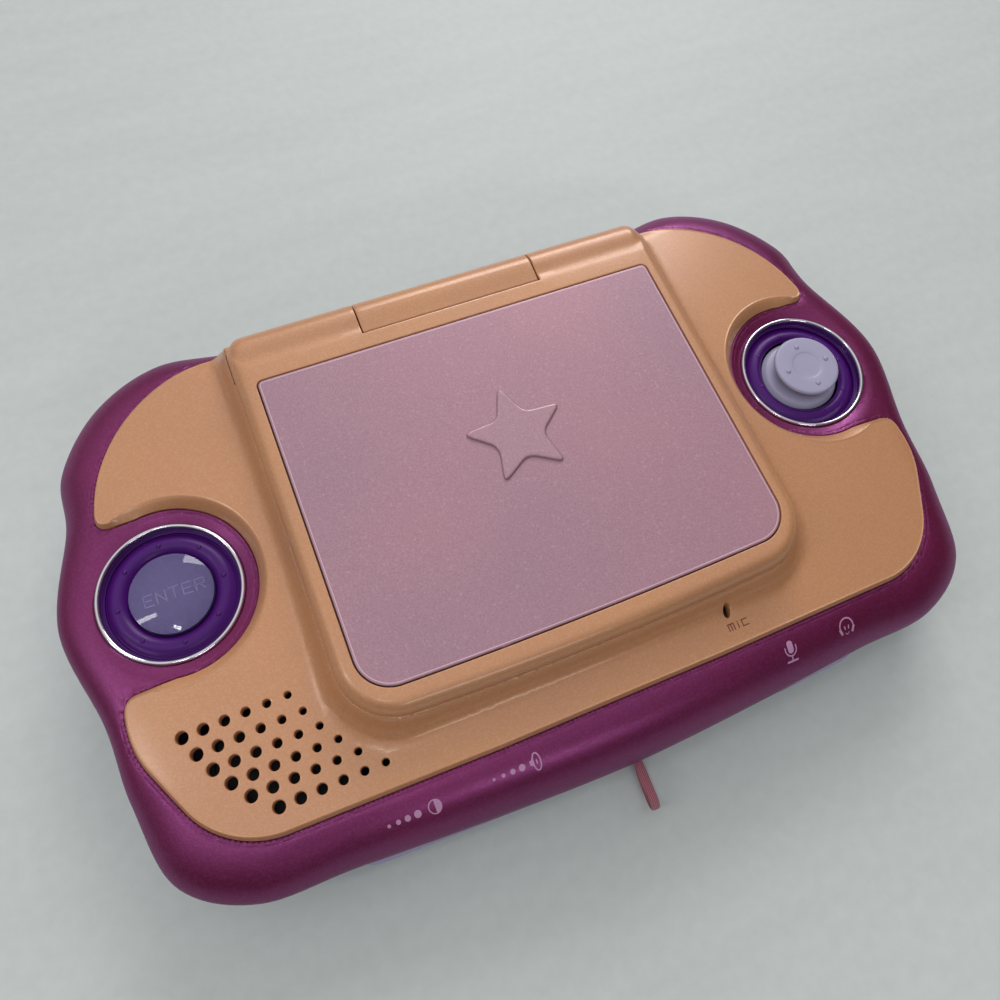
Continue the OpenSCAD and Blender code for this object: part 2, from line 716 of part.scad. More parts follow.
module key_board() color("seagreen")
    translate([0, 0, key_board_z]) linear_extrude(board_t) pad_plan();

module main_board() color("seagreen") translate([0, 0, board_z]) linear_extrude(board_t) {
    translate([-board_hw, board_front]) square([2 * board_hw, board_back - board_front]);
    difference() {
        translate([-board_wing, ring_y - 13]) square([2 * board_wing, 26]);
        translate([ring_x, ring_y]) square(2 * (housing_hw + seat), center = true);
    }
}

module speaker() color("dimgray") translate([speaker_x, speaker_y, speaker_z - speaker_t]) {
    translate([0, 0, speaker_t - 1.6]) difference() {
        cylinder(r = speaker_r, h = 1.6);
        translate([0, 0, 0.6]) cylinder(r = speaker_r - 2.4, h = 2);
    }
    translate([0, 0, 3]) cylinder(r1 = speaker_r * 0.5, r2 = speaker_r - 1, h = speaker_t - 4.4);
    cylinder(r = speaker_r * 0.55, h = 4);
}
module mic_capsule() color("gray") translate([mic_at[0], mic_at[1], mic_z - 4]) cylinder(r = mic_r, h = 3.8);

// ---- joystick ----
pivot_z = ring_z - stick_drop;
gimbal_r = 8;
gimbal_w = 1.6;
gimbal_h = 2.4;
housing_hw = 11;
housing_bottom = pivot_z - 4.5;
housing_top = pod_block_z - seat;
stick_ball_r = 3.4;
module stick_housing() color("black") difference() {
    union() {
        translate([ring_x - housing_hw, ring_y - housing_hw, housing_bottom])
            cube([2 * housing_hw, 2 * housing_hw, housing_top - housing_bottom]);
        translate([ring_x - housing_hw - 2, ring_y - housing_hw - 2, board_z + board_t])
            cube([2 * housing_hw + 4, 2 * housing_hw + 4, 1]);
    }
    translate([ring_x, ring_y, housing_bottom - 1]) cylinder(r = gimbal_r + 0.5, h = 20);
    translate([ring_x, ring_y - housing_hw - 1, pivot_z]) rotate([-90, 0, 0])
        cylinder(r = gimbal_pin_r + run_fit, h = 2 * housing_hw + 2);
}
// The ring turns about Y in the housing; the shaft turns about X in the ring.
module gimbal_ring() color("gray") difference() {
    translate([ring_x, ring_y, pivot_z - gimbal_h / 2]) difference() {
        cylinder(r = gimbal_r, h = gimbal_h);
        translate([0, 0, -1]) cylinder(r = gimbal_r - gimbal_w, h = gimbal_h + 2);
    }
    translate([ring_x - 20, ring_y, pivot_z]) rotate([0, 90, 0]) cylinder(r = gimbal_pin_r + run_fit, h = 40);
    translate([ring_x, ring_y - 20, pivot_z]) rotate([-90, 0, 0]) cylinder(r = gimbal_pin_r, h = 40);
}
module gimbal_pins() color("silver") for (s = [-1, 1])
    translate([ring_x, ring_y + s * (gimbal_r - gimbal_w + 0.2), pivot_z]) rotate([-90 * s, 0, 0])
        cylinder(r = gimbal_pin_r, h = housing_hw - gimbal_r + gimbal_w - 0.4);
module stick_shaft() color("silver") translate([ring_x, ring_y, pivot_z]) {
    sphere(r = stick_ball_r, $fn = 48);
    cylinder(r = stick_shaft_r, h = stick_drop + stick_cap_z - 0.5);
    translate([-gimbal_r + 0.4, 0, 0]) rotate([0, 90, 0]) cylinder(r = gimbal_pin_r, h = 2 * gimbal_r - 0.8);
}
stick_cap_z = 2.1;
stick_cap_t = 2.2;
module stick_cap() color(lilac) translate([ring_x, ring_y, ring_z + stick_cap_z]) difference() {
    union() {
        rotate_extrude($fn = 72) polygon(concat(
            [[0, 0], [stick_cap_r - 0.9, 0]],
            [for (a = [-60 : 20 : 80]) [stick_cap_r - 0.9 + 0.9 * cos(a), 1.1 + 1.1 * sin(a)]],
            [[stick_cap_r * 0.45, stick_cap_t - 0.1], [0, stick_cap_t - 0.35]]
        ));
        translate([0, 0, -2.6]) cylinder(r = stick_cap_r * 0.5, h = 2.8);
        for (k = [0 : 3]) rotate([0, 0, 45 + 90 * k])
            translate([stick_cap_r * 0.67, 0, stick_cap_t - 0.2]) sphere(r = 0.75, $fn = 24);
    }
    translate([0, 0, -3]) cylinder(r = stick_shaft_r + seat, h = 3);
}
module stick_skirt() color(lilac) translate([ring_x, ring_y, ring_z - 3.2]) difference() {
    rotate_extrude($fn = 72) polygon([
        [0, 0], [stick_skirt_r - 0.3, 0], [stick_skirt_r, 0.3], [stick_skirt_r - 0.4, 0.7],
        [stick_cap_r * 0.55, 1.5], [0, 1.5]
    ]);
    translate([0, 0, -1]) cylinder(r = stick_shaft_r + seat, h = 4);
}

// ---- enter button ----
enter_stem_r = 4;
module enter_button() color("slateblue") translate([-ring_x, ring_y, ring_z]) {
    translate([0, 0, -5]) cylinder(r = enter_r, h = 4.4);
    translate([0, 0, -5]) cylinder(r = enter_r + 1.2, h = left_dish_bottom - slide_gap - ring_z + 5);
    translate([0, 0, board_z + board_t + enter_travel + slide_gap - ring_z])
        cylinder(r = enter_stem_r, h = ring_z - 4.9 - board_z - board_t - enter_travel - slide_gap);
}
lens_h = 1.9;
lens_ball_r = (enter_r * enter_r + lens_h * lens_h) / (2 * lens_h);
module enter_lens() color("lavender", 0.5) translate([-ring_x, ring_y, ring_z - 0.6])
    rotate_extrude($fn = 96) intersection() {
        translate([0, lens_h - lens_ball_r]) circle(r = lens_ball_r, $fn = 180);
        square([enter_r, lens_h]);
    }

module thumbwheel(p) color(lilac) translate([p[0], p[1], wheel_z]) difference() {
    union() {
        cylinder(r = wheel_r - 0.5, h = wheel_t);
        for (k = [0 : 35]) rotate([0, 0, 10 * k]) translate([wheel_r - 0.6, 0, 0])
            cylinder(r = 0.6, h = wheel_t, $fn = 16);
    }
    translate([0, 0, -1]) cylinder(r = wheel_pin_r, h = wheel_t + 2);
}
module contrast_wheel() thumbwheel(wheel_at[0]);
module volume_wheel() thumbwheel(wheel_at[1]);

module audio_socket(p) color("dimgray") translate([p[0], p[1], audio_z]) rotate([-90, 0, 0]) difference() {
    cylinder(r = audio_out_r, h = audio_l + 1.5);
    translate([0, 0, -1]) cylinder(r = audio_r, h = audio_l + 1);
}
module mic_socket() audio_socket(audio_at[0]);
module headphone_socket() audio_socket(audio_at[1]);
module power_socket() color("dimgray") translate([power_x, power_face_y, power_z]) rotate([90, 0, 0]) {
    difference() {
        cylinder(r = power_r + 2, h = 11);
        translate([0, 0, -1]) cylinder(r = power_r, h = 10);
    }
    translate([0, 0, 1.5]) cylinder(r = 0.9, h = 8);
}

module cartridge_bay() color("dimgray") intersection() {
    lower_form(0, foot_h, lower_top);
    translate([0, slot_back_y - slot_len / 2, slot_floor_z + slot_h / 2]) difference() {
        cube([slot_w + 2 * slot_wall, slot_len + 8, slot_h + 2 * slot_wall], center = true);
        translate([0, 2 * slot_wall, 0]) cube([slot_w, slot_len + 8, slot_h], center = true);
    }
}

module battery_cells() color("goldenrod") for (k = [0 : cell_n - 1])
    translate([(k - (cell_n - 1) / 2) * battery_pitch, bay_y - cell_l / 2, cell_z]) rotate([-90, 0, 0]) {
        cylinder(r = cell_d / 2, h = cell_l - 1);
        cylinder(r = 2.7, h = cell_l);
    }
module battery_contacts() color("silver") for (k = [0 : cell_n - 1], s = [-1, 1])
    translate([(k - (cell_n - 1) / 2) * battery_pitch, bay_y + s * (cell_l / 2 + 1.3), cell_z])
        cube([9, 2.2, 9], center = true);

module stylus_tube() color("dimgray") translate([stylus_end_x - stylus_l - 2, stylus_y, stylus_z])
    rotate([0, 90, 0]) difference() {
    cylinder(r = stylus_bore + stylus_wall, h = stylus_l + 2.3);
    translate([0, 0, 1.5]) cylinder(r = stylus_bore, h = stylus_l + 2);
}
module stylus() color(lilac) translate([stylus_end_x, stylus_y, stylus_z]) rotate([0, -90, 0]) union() {
    cylinder(r = stylus_r, h = stylus_l - 9);
    translate([0, 0, stylus_l - 9]) cylinder(r1 = stylus_r, r2 = 1, h = 8);
}

module loop_anchor() color("silver")
    translate([loop_x - loop_w / 2 - 1.5, front_y + 13, 9.5]) rotate([0, 90, 0]) cylinder(r = 1.2, h = loop_w + 3);

// Woven tape loop: its route leaves the front slot, bends over, and comes back.
tape_r = tape_w / 2;
tape_route = [
    [4.4, -64.0, 11.6], [4.4, -68.0, 11.6], [4.4, -72.0, 11.4], [4.4, -76.0, 11.0], [4.4, -80.0, 10.6],
    [4.4, -84.0, 10.2], [4.6, -87.4, 9.0], [4.9, -89.6, 6.2], [5.2, -88.8, 3.2], [5.6, -86.0, 1.6],
    [5.9, -82.0, 1.4], [6.2, -78.0, 2.2], [6.4, -74.0, 4.4], [6.6, -70.0, 6.4], [6.6, -66.0, 7.3],
    [6.6, -64.0, 7.4]
];
function unit(v) = v / norm(v);
module tape_loop() color("palevioletred") {
    n = len(tape_route);
    sides = 8;
    along = [for (i = [0 : n - 1]) unit(tape_route[min(i + 1, n - 1)] - tape_route[max(i - 1, 0)])];
    rings = [
        for (i = [0 : n - 1], k = [0 : sides - 1])
            let (u = unit(cross([1, 0, 0], along[i])), v = cross(along[i], u), a = 360 * k / sides)
            tape_route[i] + tape_r * (cos(a) * u + sin(a) * v)
    ];
    walls = [
        for (j = [0 : n - 2], k = [0 : sides - 1])
            let (a = j * sides + k, b = j * sides + (k + 1) % sides)
            [a, a + sides, b + sides, b]
    ];
    polyhedron(points = rings, faces = concat(
        [[for (k = [0 : sides - 1]) k]], [[for (k = [sides - 1 : -1 : 0]) (n - 1) * sides + k]], walls));
}

module case_screws() color("silver") for (s = [-1, 1]) for (p = case_screws_at)
    translate([s * p[0], p[1], screw_head_z]) {
        cylinder(r = screw_r, h = screw_l);
        mirror([0, 0, 1]) cylinder(r = screw_head_r, h = 1.8);
    }
module rubber_feet() color("dimgray") for (s = [-1, 1]) for (p = foot_at)
    translate([s * p[0], p[1], 0]) cylinder(r = foot_r, h = foot_h + foot_inset - seat / 2);

module battery_door() color(lilac) difference() {
    union() {
        translate([0, 0, foot_h]) linear_extrude(door_t) {
            translate([-door_hw, door_hinge_y]) square([2 * door_hw, bay_y + bay_d / 2 - door_gap - door_hinge_y]);
            door_tab_plan(-door_gap);
        }
        translate([-door_hw, door_hinge_y, door_hinge_z]) rotate([0, 90, 0])
            cylinder(r = door_edge_r, h = 2 * door_hw);
        for (s = [-1, 1]) translate([s * bay_w / 4 - tongue_w / 2, door_hinge_y, 0]) {
            translate([0, door_front_y - tongue_reach - door_hinge_y, tongue_z])
                cube([tongue_w, tongue_reach + door_gap + door_edge_r - 0.1, tongue_t]);
            translate([0, -0.8, door_hinge_z]) cube([tongue_w, 1.5, tongue_z + 0.2 - door_hinge_z]);
        }
    }
    translate([0, door_screw_y, 0]) cylinder(r = screw_r + run_fit, h = 10);
    translate([0, door_screw_y, 0]) cylinder(r = screw_head_r + seat, h = foot_h + 0.9);
}
module door_screw() color("silver") translate([0, door_screw_y, foot_h + 0.9]) {
    cylinder(r = screw_r, h = 5);
    mirror([0, 0, 1]) cylinder(r = screw_head_r, h = 0.8);
}

// ---- lid ----
knuckle_x0 = barrel_hl + slide_gap;
knuckle_x1 = lid_hw - 2.2;
lid_skin = 2;
lid_wall = 2;
lid_angles = [0, 25, 50, 72, 90];
module lid_pillow() {
    rings = concat(
        [lid_ring(0, lid_split_z)],
        [for (a = lid_angles) lid_ring(
            -lid_round * (1 - cos(a)), lid_face_z - lid_round * (1 - sin(a)))]
    );
    lofted(rings, [0, 0, lid_split_z], [0, 0, lid_face_z]);
}
panel_y = ring_y - 2.4;
module panel_plan(grow) {
    hull() for (s = [-1, 1]) {
        translate([s * (panel_hw - 1.5), panel_y + panel_d / 2 - 1.5]) circle(r = 1.5 + grow, $fn = 24);
        translate([s * (panel_hw - panel_front_r), panel_y - panel_d / 2 + panel_front_r])
            circle(r = panel_front_r + grow, $fn = 48);
        translate([s * panel_hw * 0.3, panel_y - panel_d / 2 - lid_bow * 0.6 + 4]) circle(r = 4 + grow, $fn = 48);
    }
}
module lid_shell() color(peach) difference() {
    union() {
        lid_pillow();
        lid_plate(nest_o, nest_z, lid_split_z + 1, recess_back);
        for (s = [-1, 1]) {
            hinge_bar(barrel_r, s > 0 ? knuckle_x0 : -knuckle_x1, s > 0 ? knuckle_x1 : -knuckle_x0);
            translate([s > 0 ? knuckle_x0 : -knuckle_x1, hinge_y - 8, lid_split_z])
                cube([knuckle_x1 - knuckle_x0, 8, lid_face_z - 0.7 - lid_split_z]);
        }
    }
    difference() {
        lid_plate(nest_o - lid_wall, nest_z - 1, lid_cavity_top, recess_back);
        for (p = lid_screws_at) translate([p[0], p[1], nest_z + bezel_t]) cylinder(r = 3.2, h = 9);
    }
    for (p = lid_screws_at) translate([p[0], p[1], nest_z]) cylinder(r = screw_r, h = 6.5);
    translate([0, 0, lid_face_z - panel_t]) linear_extrude(3) panel_plan(seat);
    hinge_bar(apron_r + slide_gap, -knuckle_x0, knuckle_x0);
    for (s = [-1, 1]) hinge_bar(hinge_pin_r + run_fit,
        s > 0 ? knuckle_x0 - 1 : -(barrel_hl + hinge_pin_l / 2 + 1), s > 0 ? barrel_hl + hinge_pin_l / 2 + 1 : -knuckle_x0 + 1);
}
star_r = 13;
star_points = 5;
module lid_panel() color("pink", 0.9) union() {
    translate([0, 0, lid_face_z - panel_t]) linear_extrude(panel_t + 0.1) panel_plan(0);
    translate([1.5, ring_y + 3.5, lid_face_z]) linear_extrude(0.9)
        offset(r = 2, $fn = 32) offset(delta = -2) offset(r = -2, $fn = 32) offset(delta = 2)
            polygon([for (k = [0 : 2 * star_points - 1])
                let (a = 90 + 180 * k / star_points, r = k % 2 == 0 ? star_r + 1.5 : star_r * 0.52)
                [r * cos(a), r * sin(a)]]);
}
bezel_t = 1.5;
screen_y = ring_y - 5;
lid_screws_at = [for (s = [-1, 1], t = [-1, 1])
    [s * (screen_w / 2 + 11), screen_y + t * (screen_d / 2 + 3)]];
lid_cavity_top = lid_face_z - lid_skin - panel_t;
module lid_bezel() color("plum") difference() {
    translate([0, 0, nest_z]) linear_extrude(bezel_t) polygon(lid_loop(nest_o - lid_wall - seat, recess_back));
    translate([0, screen_y, nest_z - 1]) linear_extrude(bezel_t + 2) rounded_box(screen_w, screen_d, 2);
    for (p = lid_screws_at) translate([p[0], p[1], nest_z - 1]) cylinder(r = screw_r + seat, h = 4);
}
module screen_window() color("lightsteelblue", 0.5)
    translate([0, screen_y, nest_z + 0.2]) linear_extrude(bezel_t - 0.4) rounded_box(screen_w - 2 * seat, screen_d - 2 * seat, 2);
module screen_module() color("dimgray")
    translate([0, screen_y, nest_z + bezel_t + 0.1 + 2]) cube([screen_w + 8, screen_d + 8, 4], center = true);
module lid_screws() color("silver") for (p = lid_screws_at)
    translate([p[0], p[1], nest_z + 0.2]) cylinder(r = screw_r, h = 6);

lower_shell();
upper_shell();
deck_panel();
left_ring();
right_ring();
left_dish();
right_dish();
hinge_cover();
hinge_pins();
tablet_frame();
touch_tablet();
key_membrane();
key_board();
main_board();
speaker();
mic_capsule();
stick_housing();
battery_contacts();
battery_cells();
cartridge_bay();
mic_socket();
headphone_socket();
power_socket();
stylus_tube();
loop_anchor();
tape_loop();
case_screws();
rubber_feet();
enter_button();
enter_lens();
gimbal_ring();
gimbal_pins();
stick_shaft();
stick_skirt();
stick_cap();
key_red();
key_yellow();
key_blue();
key_green();
key_menu_left();
key_menu_middle();
key_menu_right();
contrast_wheel();
volume_wheel();
battery_door();
door_screw();
stylus();
lid_shell();
lid_panel();
lid_bezel();
screen_window();
screen_module();
lid_screws();
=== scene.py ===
# Clamshell handheld console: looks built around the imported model.
import json
import math

import bmesh
import bpy
import numpy as np
from mathutils import Matrix, Vector
from mathutils.geometry import convex_hull_2d, delaunay_2d_cdt


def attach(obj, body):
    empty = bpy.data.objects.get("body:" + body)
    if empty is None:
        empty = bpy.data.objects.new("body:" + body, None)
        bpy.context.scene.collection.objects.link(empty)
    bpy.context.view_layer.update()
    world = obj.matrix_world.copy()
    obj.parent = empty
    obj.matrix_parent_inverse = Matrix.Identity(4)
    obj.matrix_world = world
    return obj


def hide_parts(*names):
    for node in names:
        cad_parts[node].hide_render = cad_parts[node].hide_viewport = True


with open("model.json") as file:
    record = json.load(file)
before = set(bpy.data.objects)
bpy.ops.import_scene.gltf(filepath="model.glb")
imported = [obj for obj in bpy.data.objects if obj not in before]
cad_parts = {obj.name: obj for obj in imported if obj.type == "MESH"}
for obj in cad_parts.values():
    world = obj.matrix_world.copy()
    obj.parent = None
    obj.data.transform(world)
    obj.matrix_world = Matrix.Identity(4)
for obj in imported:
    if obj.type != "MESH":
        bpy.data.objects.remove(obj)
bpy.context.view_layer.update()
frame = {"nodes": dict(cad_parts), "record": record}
print("frame loaded:", len(frame["nodes"]), "nodes")

cameraPlace = {"at": (-0.05214, -0.07330, 0.24162), "lens": 29.93, "sensor": 36.0}
cameraAxes = np.array([
    [0.92231549, -0.37983651, 0.07112223],      # picture right
    [-0.32877095, -0.86799934, -0.37213817],    # picture down
    [0.20308571, 0.31984587, -0.92544844],      # looking direction
])


def placeCamera():
    data = bpy.data.cameras.new("camera")
    data.lens = cameraPlace["lens"]
    data.sensor_width = cameraPlace["sensor"]
    data.clip_start = 0.005
    cam = bpy.data.objects.new("camera", data)
    bpy.context.scene.collection.objects.link(cam)
    right, down, ahead = cameraAxes
    m = Matrix([[right[i], -down[i], -ahead[i], cameraPlace["at"][i]] for i in range(3)] + [[0, 0, 0, 1]])
    cam.matrix_world = m
    bpy.context.scene.camera = cam


placeCamera()


def meshFrom(name, points, faces, body, sharp=35.0, merge=0.002):
    # One mesh object from an n by 3 array and a list or array of faces; millimetres become metres.
    mesh = bpy.data.meshes.new(name)
    faceList = faces.tolist() if isinstance(faces, np.ndarray) else faces
    mesh.from_pydata((np.asarray(points, float) * 0.001).tolist(), [], faceList)
    bm = bmesh.new()
    bm.from_mesh(mesh)
    bmesh.ops.remove_doubles(bm, verts=bm.verts, dist=merge * 0.001)
    bmesh.ops.dissolve_degenerate(bm, dist=1e-7, edges=bm.edges)
    bm.to_mesh(mesh)
    bm.free()
    mesh.polygons.foreach_set("use_smooth", np.ones(len(mesh.polygons), bool))
    mesh.set_sharp_from_angle(angle=math.radians(sharp))
    piece = bpy.data.objects.new(name, mesh)
    bpy.context.scene.collection.objects.link(piece)
    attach(piece, body)
    return piece


def gridFaces(rows, cols, closed=True):
    # Quads between neighbouring rows of a grid of points, wrapped round when closed.
    r, c = np.meshgrid(np.arange(rows - 1), np.arange(cols if closed else cols - 1), indexing="ij")
    c2 = (c + 1) % cols
    return np.stack([r * cols + c, r * cols + c2, (r + 1) * cols + c2, (r + 1) * cols + c], -1).reshape(-1, 4)


class Patches:
    # The points and faces of one piece, gathered patch by patch; flip turns a patch's faces over.
    def __init__(self):
        self.points, self.faces, self.count = [], [], 0

    def add(self, points, faces, flip=False):
        faces = np.asarray(faces)
        self.faces += ((faces[:, ::-1] if flip else faces) + self.count).tolist()
        self.points.append(points)
        self.count += len(points)

    def strip(self, rows, flip=False, closed=True):
        # Quads through rows of equally many points.
        self.add(np.concatenate(rows), gridFaces(len(rows), len(rows[0]), closed), flip)

    def cap(self, ring, flip=False):
        # One flat face with points of its own.
        self.add(ring, [range(len(ring))], flip)

    def build(self, name, body, sharp=35.0, merge=0.002):
        return meshFrom(name, np.vstack(self.points), self.faces, body, sharp, merge)


def raised(plan, z):
    # Plan points (x, y) at one height, or at a height each.
    return np.column_stack([plan, np.broadcast_to(z, len(plan))])


def standing(x, section):
    # Section points (y, z) at one place along X, or at a place each.
    return np.column_stack([np.broadcast_to(x, len(section)), section])


def lathe(name, profile, centre, body, segments=160, sharp=35.0):
    # Each (radius, height) of the profile is carried round a vertical axis.
    prof = np.asarray(profile, float)
    a = np.linspace(0, 2 * np.pi, segments, endpoint=False)
    pts = np.stack([np.outer(prof[:, 0], np.cos(a)), np.outer(prof[:, 0], np.sin(a)),
                    np.repeat(prof[:, 1:2], segments, 1)], -1).reshape(-1, 3) + np.array(centre)
    return meshFrom(name, pts, gridFaces(len(prof), segments), body, sharp)


def arcPoints(cx, cy, r, a0, a1, n):
    # Points on a circle from angle a0 to a1 in degrees.
    a = np.radians(np.linspace(a0, a1, n + 1))
    return np.stack([cx + r * np.cos(a), cy + r * np.sin(a)], -1)


def resample(loop, step):
    # Walks a closed loop and puts points at equal spacing close to step.
    p = np.vstack([loop, loop[:1]])
    seg = np.hypot(*np.diff(p, axis=0).T)
    s = np.concatenate([[0], np.cumsum(seg)])
    n = max(8, int(round(s[-1] / step)))
    t = np.linspace(0, s[-1], n, endpoint=False)
    return np.stack([np.interp(t, s, p[:, 0]), np.interp(t, s, p[:, 1])], -1)


def insideLoop(p, loop):
    # Even-odd rule: counts crossings of a ray along +x with each edge of the loop.
    a, b = loop, np.roll(loop, -1, axis=0)
    out = np.zeros(len(p), bool)
    for k in range(0, len(p), 20000):
        x, y = p[k:k + 20000, 0:1], p[k:k + 20000, 1:2]
        cross = (a[:, 1] > y) != (b[:, 1] > y)
        with np.errstate(divide="ignore", invalid="ignore"):
            xi = a[:, 0] + (y - a[:, 1]) * (b[:, 0] - a[:, 0]) / (b[:, 1] - a[:, 1])
        out[k:k + 20000] = (np.sum(cross & (x < xi), 1) % 2) == 1
    return out


def loopDistance(p, loop):
    # Distance from each point to the nearest edge of a closed loop.
    a = loop
    d = np.roll(loop, -1, axis=0) - a
    dd = np.maximum((d ** 2).sum(1), 1e-12)
    out = np.empty(len(p))
    for k in range(0, len(p), 4000):
        q = p[k:k + 4000]
        t = np.clip(((q[:, 0:1] - a[:, 0]) * d[:, 0] + (q[:, 1:2] - a[:, 1]) * d[:, 1]) / dd, 0, 1)
        ex = q[:, 0:1] - a[:, 0] - t * d[:, 0]
        ey = q[:, 1:2] - a[:, 1] - t * d[:, 1]
        out[k:k + 4000] = np.sqrt((ex * ex + ey * ey).min(1))
    return out


def loopNormals(loop):
    # Unit normals pointing into a loop that runs anticlockwise.
    d = np.roll(loop, -1, axis=0) - np.roll(loop, 1, axis=0)
    n = np.stack([-d[:, 1], d[:, 0]], -1)
    return n / np.linalg.norm(n, axis=1, keepdims=True)


def anticlockwise(loop):
    x, y = loop.T
    area = np.sum(x * np.roll(y, -1) - np.roll(x, -1) * y)
    return loop if area > 0 else loop[::-1]


def insideRegion(p, loops):
    # Inside the first loop and outside all the others.
    ok = insideLoop(p, loops[0])
    for hole in loops[1:]:
        ok &= ~insideLoop(p, hole)
    return ok


def sheetMesh(outer, holes, spacing, bands=(), bandHoles=(), extraLoops=(), extraRows=()):
    # Flat triangle net of a region: its loops as fixed edges, rows of points beside them at the
    # distances in bands, and a hexagonal fill with points spacing apart.
    loops = [anticlockwise(outer)] + [anticlockwise(h) for h in holes]
    fixed = loops + list(extraLoops)
    edges, n = [], 0
    for loop in fixed:
        i = np.arange(len(loop))
        edges.append(np.stack([i + n, (i + 1) % len(loop) + n], -1))
        n += len(loop)
    free = list(extraRows)
    for k, loop in enumerate(loops):
        away = loopNormals(loop) * (-1.0 if k else 1.0)
        for b in bandHoles if k else bands:
            q = loop + away * b
            free.append(q[loopDistance(q, loop) > 0.93 * b])       # without the points that fold over
    lo, hi = outer.min(0), outer.max(0)
    gx, gy = np.meshgrid(np.arange(lo[0], hi[0], spacing), np.arange(lo[1], hi[1], spacing * 0.866), indexing="ij")
    gx = gx + (np.arange(gx.shape[1]) % 2) * spacing * 0.5
    free = np.vstack(free + [np.stack([gx.ravel(), gy.ravel()], -1)])
    isFill = np.arange(len(free)) >= len(free) - gx.size
    keep = insideRegion(free, loops)
    free, isFill = free[keep], isFill[keep]
    near = np.min([loopDistance(free, loop) for loop in fixed], 0)
    fillGap = spacing * 0.4 if extraLoops else min((bands[-1] if bands else 0) + spacing * 0.45, spacing * 2)
    free = free[near > np.where(isFill, fillGap, 0.03 if extraLoops else 0.05)]
    verts, _, faces, _, _, _ = delaunay_2d_cdt(
        [Vector(p) for p in np.vstack(fixed + [free]).tolist()], np.vstack(edges).tolist(), [], 0, 1e-5)
    v = np.array([[q.x, q.y] for q in verts])
    f = np.array([t for t in faces if len(t) == 3])
    f = f[insideRegion(v[f].mean(1), loops)]
    p0, p1, p2 = v[f[:, 0]], v[f[:, 1]], v[f[:, 2]]
    area = (p1[:, 0] - p0[:, 0]) * (p2[:, 1] - p0[:, 1]) - (p1[:, 1] - p0[:, 1]) * (p2[:, 0] - p0[:, 0])
    return v, np.where((area < 0)[:, None], f[:, ::-1], f)


def bevelDrop(d, r):
    # How far a rounded edge of radius r has fallen at distance d from its brink.
    t = np.clip(1 - d / r, 0, 1)
    return r * (1 - np.sqrt(np.clip(1 - t * t, 0, 1)))


def softMin(a, b, k):
    # Smooth minimum with a blend k millimetres wide.
    h = np.clip(0.5 + 0.5 * (b - a) / k, 0, 1)
    return b * (1 - h) + a * h - k * h * (1 - h)


def smoothStep(t):
    # Runs from 0 to 1 with a soft start and end.
    t = np.clip(t, 0, 1)
    return t * t * (3 - 2 * t)


ringX, ringY, ringZ = 93.8, 5.05, 33.0      # middle of the right control's ring; the left one mirrors it
bodyShape = {"rimWidth": 13.0, "waistZ": 21.0, "partingZ": 17.0, "crownRise": 7.0, "crownBack": 8.0,
             "crownX": 1800.0, "crownY": 1700.0, "deckProud": 1.3, "frontBow": 1.3,
             "coneR": 18.65, "coneSlope": 0.45, "coneBlend": 1.6,
             "squareness": 1.3, "squareFrom": 84.0, "squareOver": 24.0, "squareY": -4.0, "squareHalf": 36.0}
halfKeys = np.array([
    [0, 71.05], [30, 71.05], [58, 71.65], [82, 75.55], [102, 67.65], [115.2, 51.05], [117.3, 33.05],
    [124, 7.05], [118.6, -19.95], [117.4, -39.95], [112.6, -60.95], [96, -71.75], [72, -73.15],
    [40, -74.55], [0, -75.55]])


def bodyOutline(steps, frontBow=0.0):
    # Closed Catmull-Rom curve through the keys of one half and their mirror image.
    half = halfKeys.copy()
    half[-2:, 1] -= frontBow * np.array([0.6, 1.0])
    keys = np.vstack([half, half[-2:0:-1] * [-1, 1]])
    t = (np.arange(steps) / steps)[:, None, None]
    p0, p1, p2, p3 = (np.roll(keys, s, axis=0)[None] for s in (1, 0, -1, -2))
    c = 0.5 * (2 * p1 + (p2 - p0) * t + (2 * p0 - 5 * p1 + 4 * p2 - p3) * t ** 2
               + (3 * p1 - p0 - 3 * p2 + p3) * t ** 3)
    return anticlockwise(c.transpose(1, 0, 2).reshape(-1, 2))


outline = bodyOutline(16, bodyShape["frontBow"])
outlineIn = loopNormals(outline)


def crownHeight(p):
    # The top falls off as the square of the distance from its highest point.
    return (ringZ + bodyShape["crownRise"] - p[:, 0] ** 2 / bodyShape["crownX"]
            - (p[:, 1] - ringY - bodyShape["crownBack"]) ** 2 / bodyShape["crownY"])


def domeHeight(p, inset=None):
    # Crown in the middle; within the rim width it rounds down to the waist as a quarter ellipse,
    # which turns into a squarer superellipse beside the controls.
    d = loopDistance(p, outline) if inset is None else inset
    c = 1 - np.clip(d / bodyShape["rimWidth"], 0, 1)
    side = (np.clip((np.abs(p[:, 0]) - bodyShape["squareFrom"]) / bodyShape["squareOver"], 0, 1)
            * np.exp(-((p[:, 1] - bodyShape["squareY"]) / bodyShape["squareHalf"]) ** 4))
    power = 2 + bodyShape["squareness"] * side
    return bodyShape["waistZ"] + (crownHeight(p) - bodyShape["waistZ"]) * (1 - c ** power) ** (1 / power)


def podRadius(p):
    # Distance from the nearer of the two control axes.
    return np.hypot(np.abs(p[:, 0]) - ringX, p[:, 1] - ringY)


def shellHeight(p, inset=None):
    # The dome, cut by a cone around each pod, with a soft roll where they meet.
    cone = ringZ + (podRadius(p) - bodyShape["coneR"]) * bodyShape["coneSlope"]
    return softMin(domeHeight(p, inset), cone, bodyShape["coneBlend"])


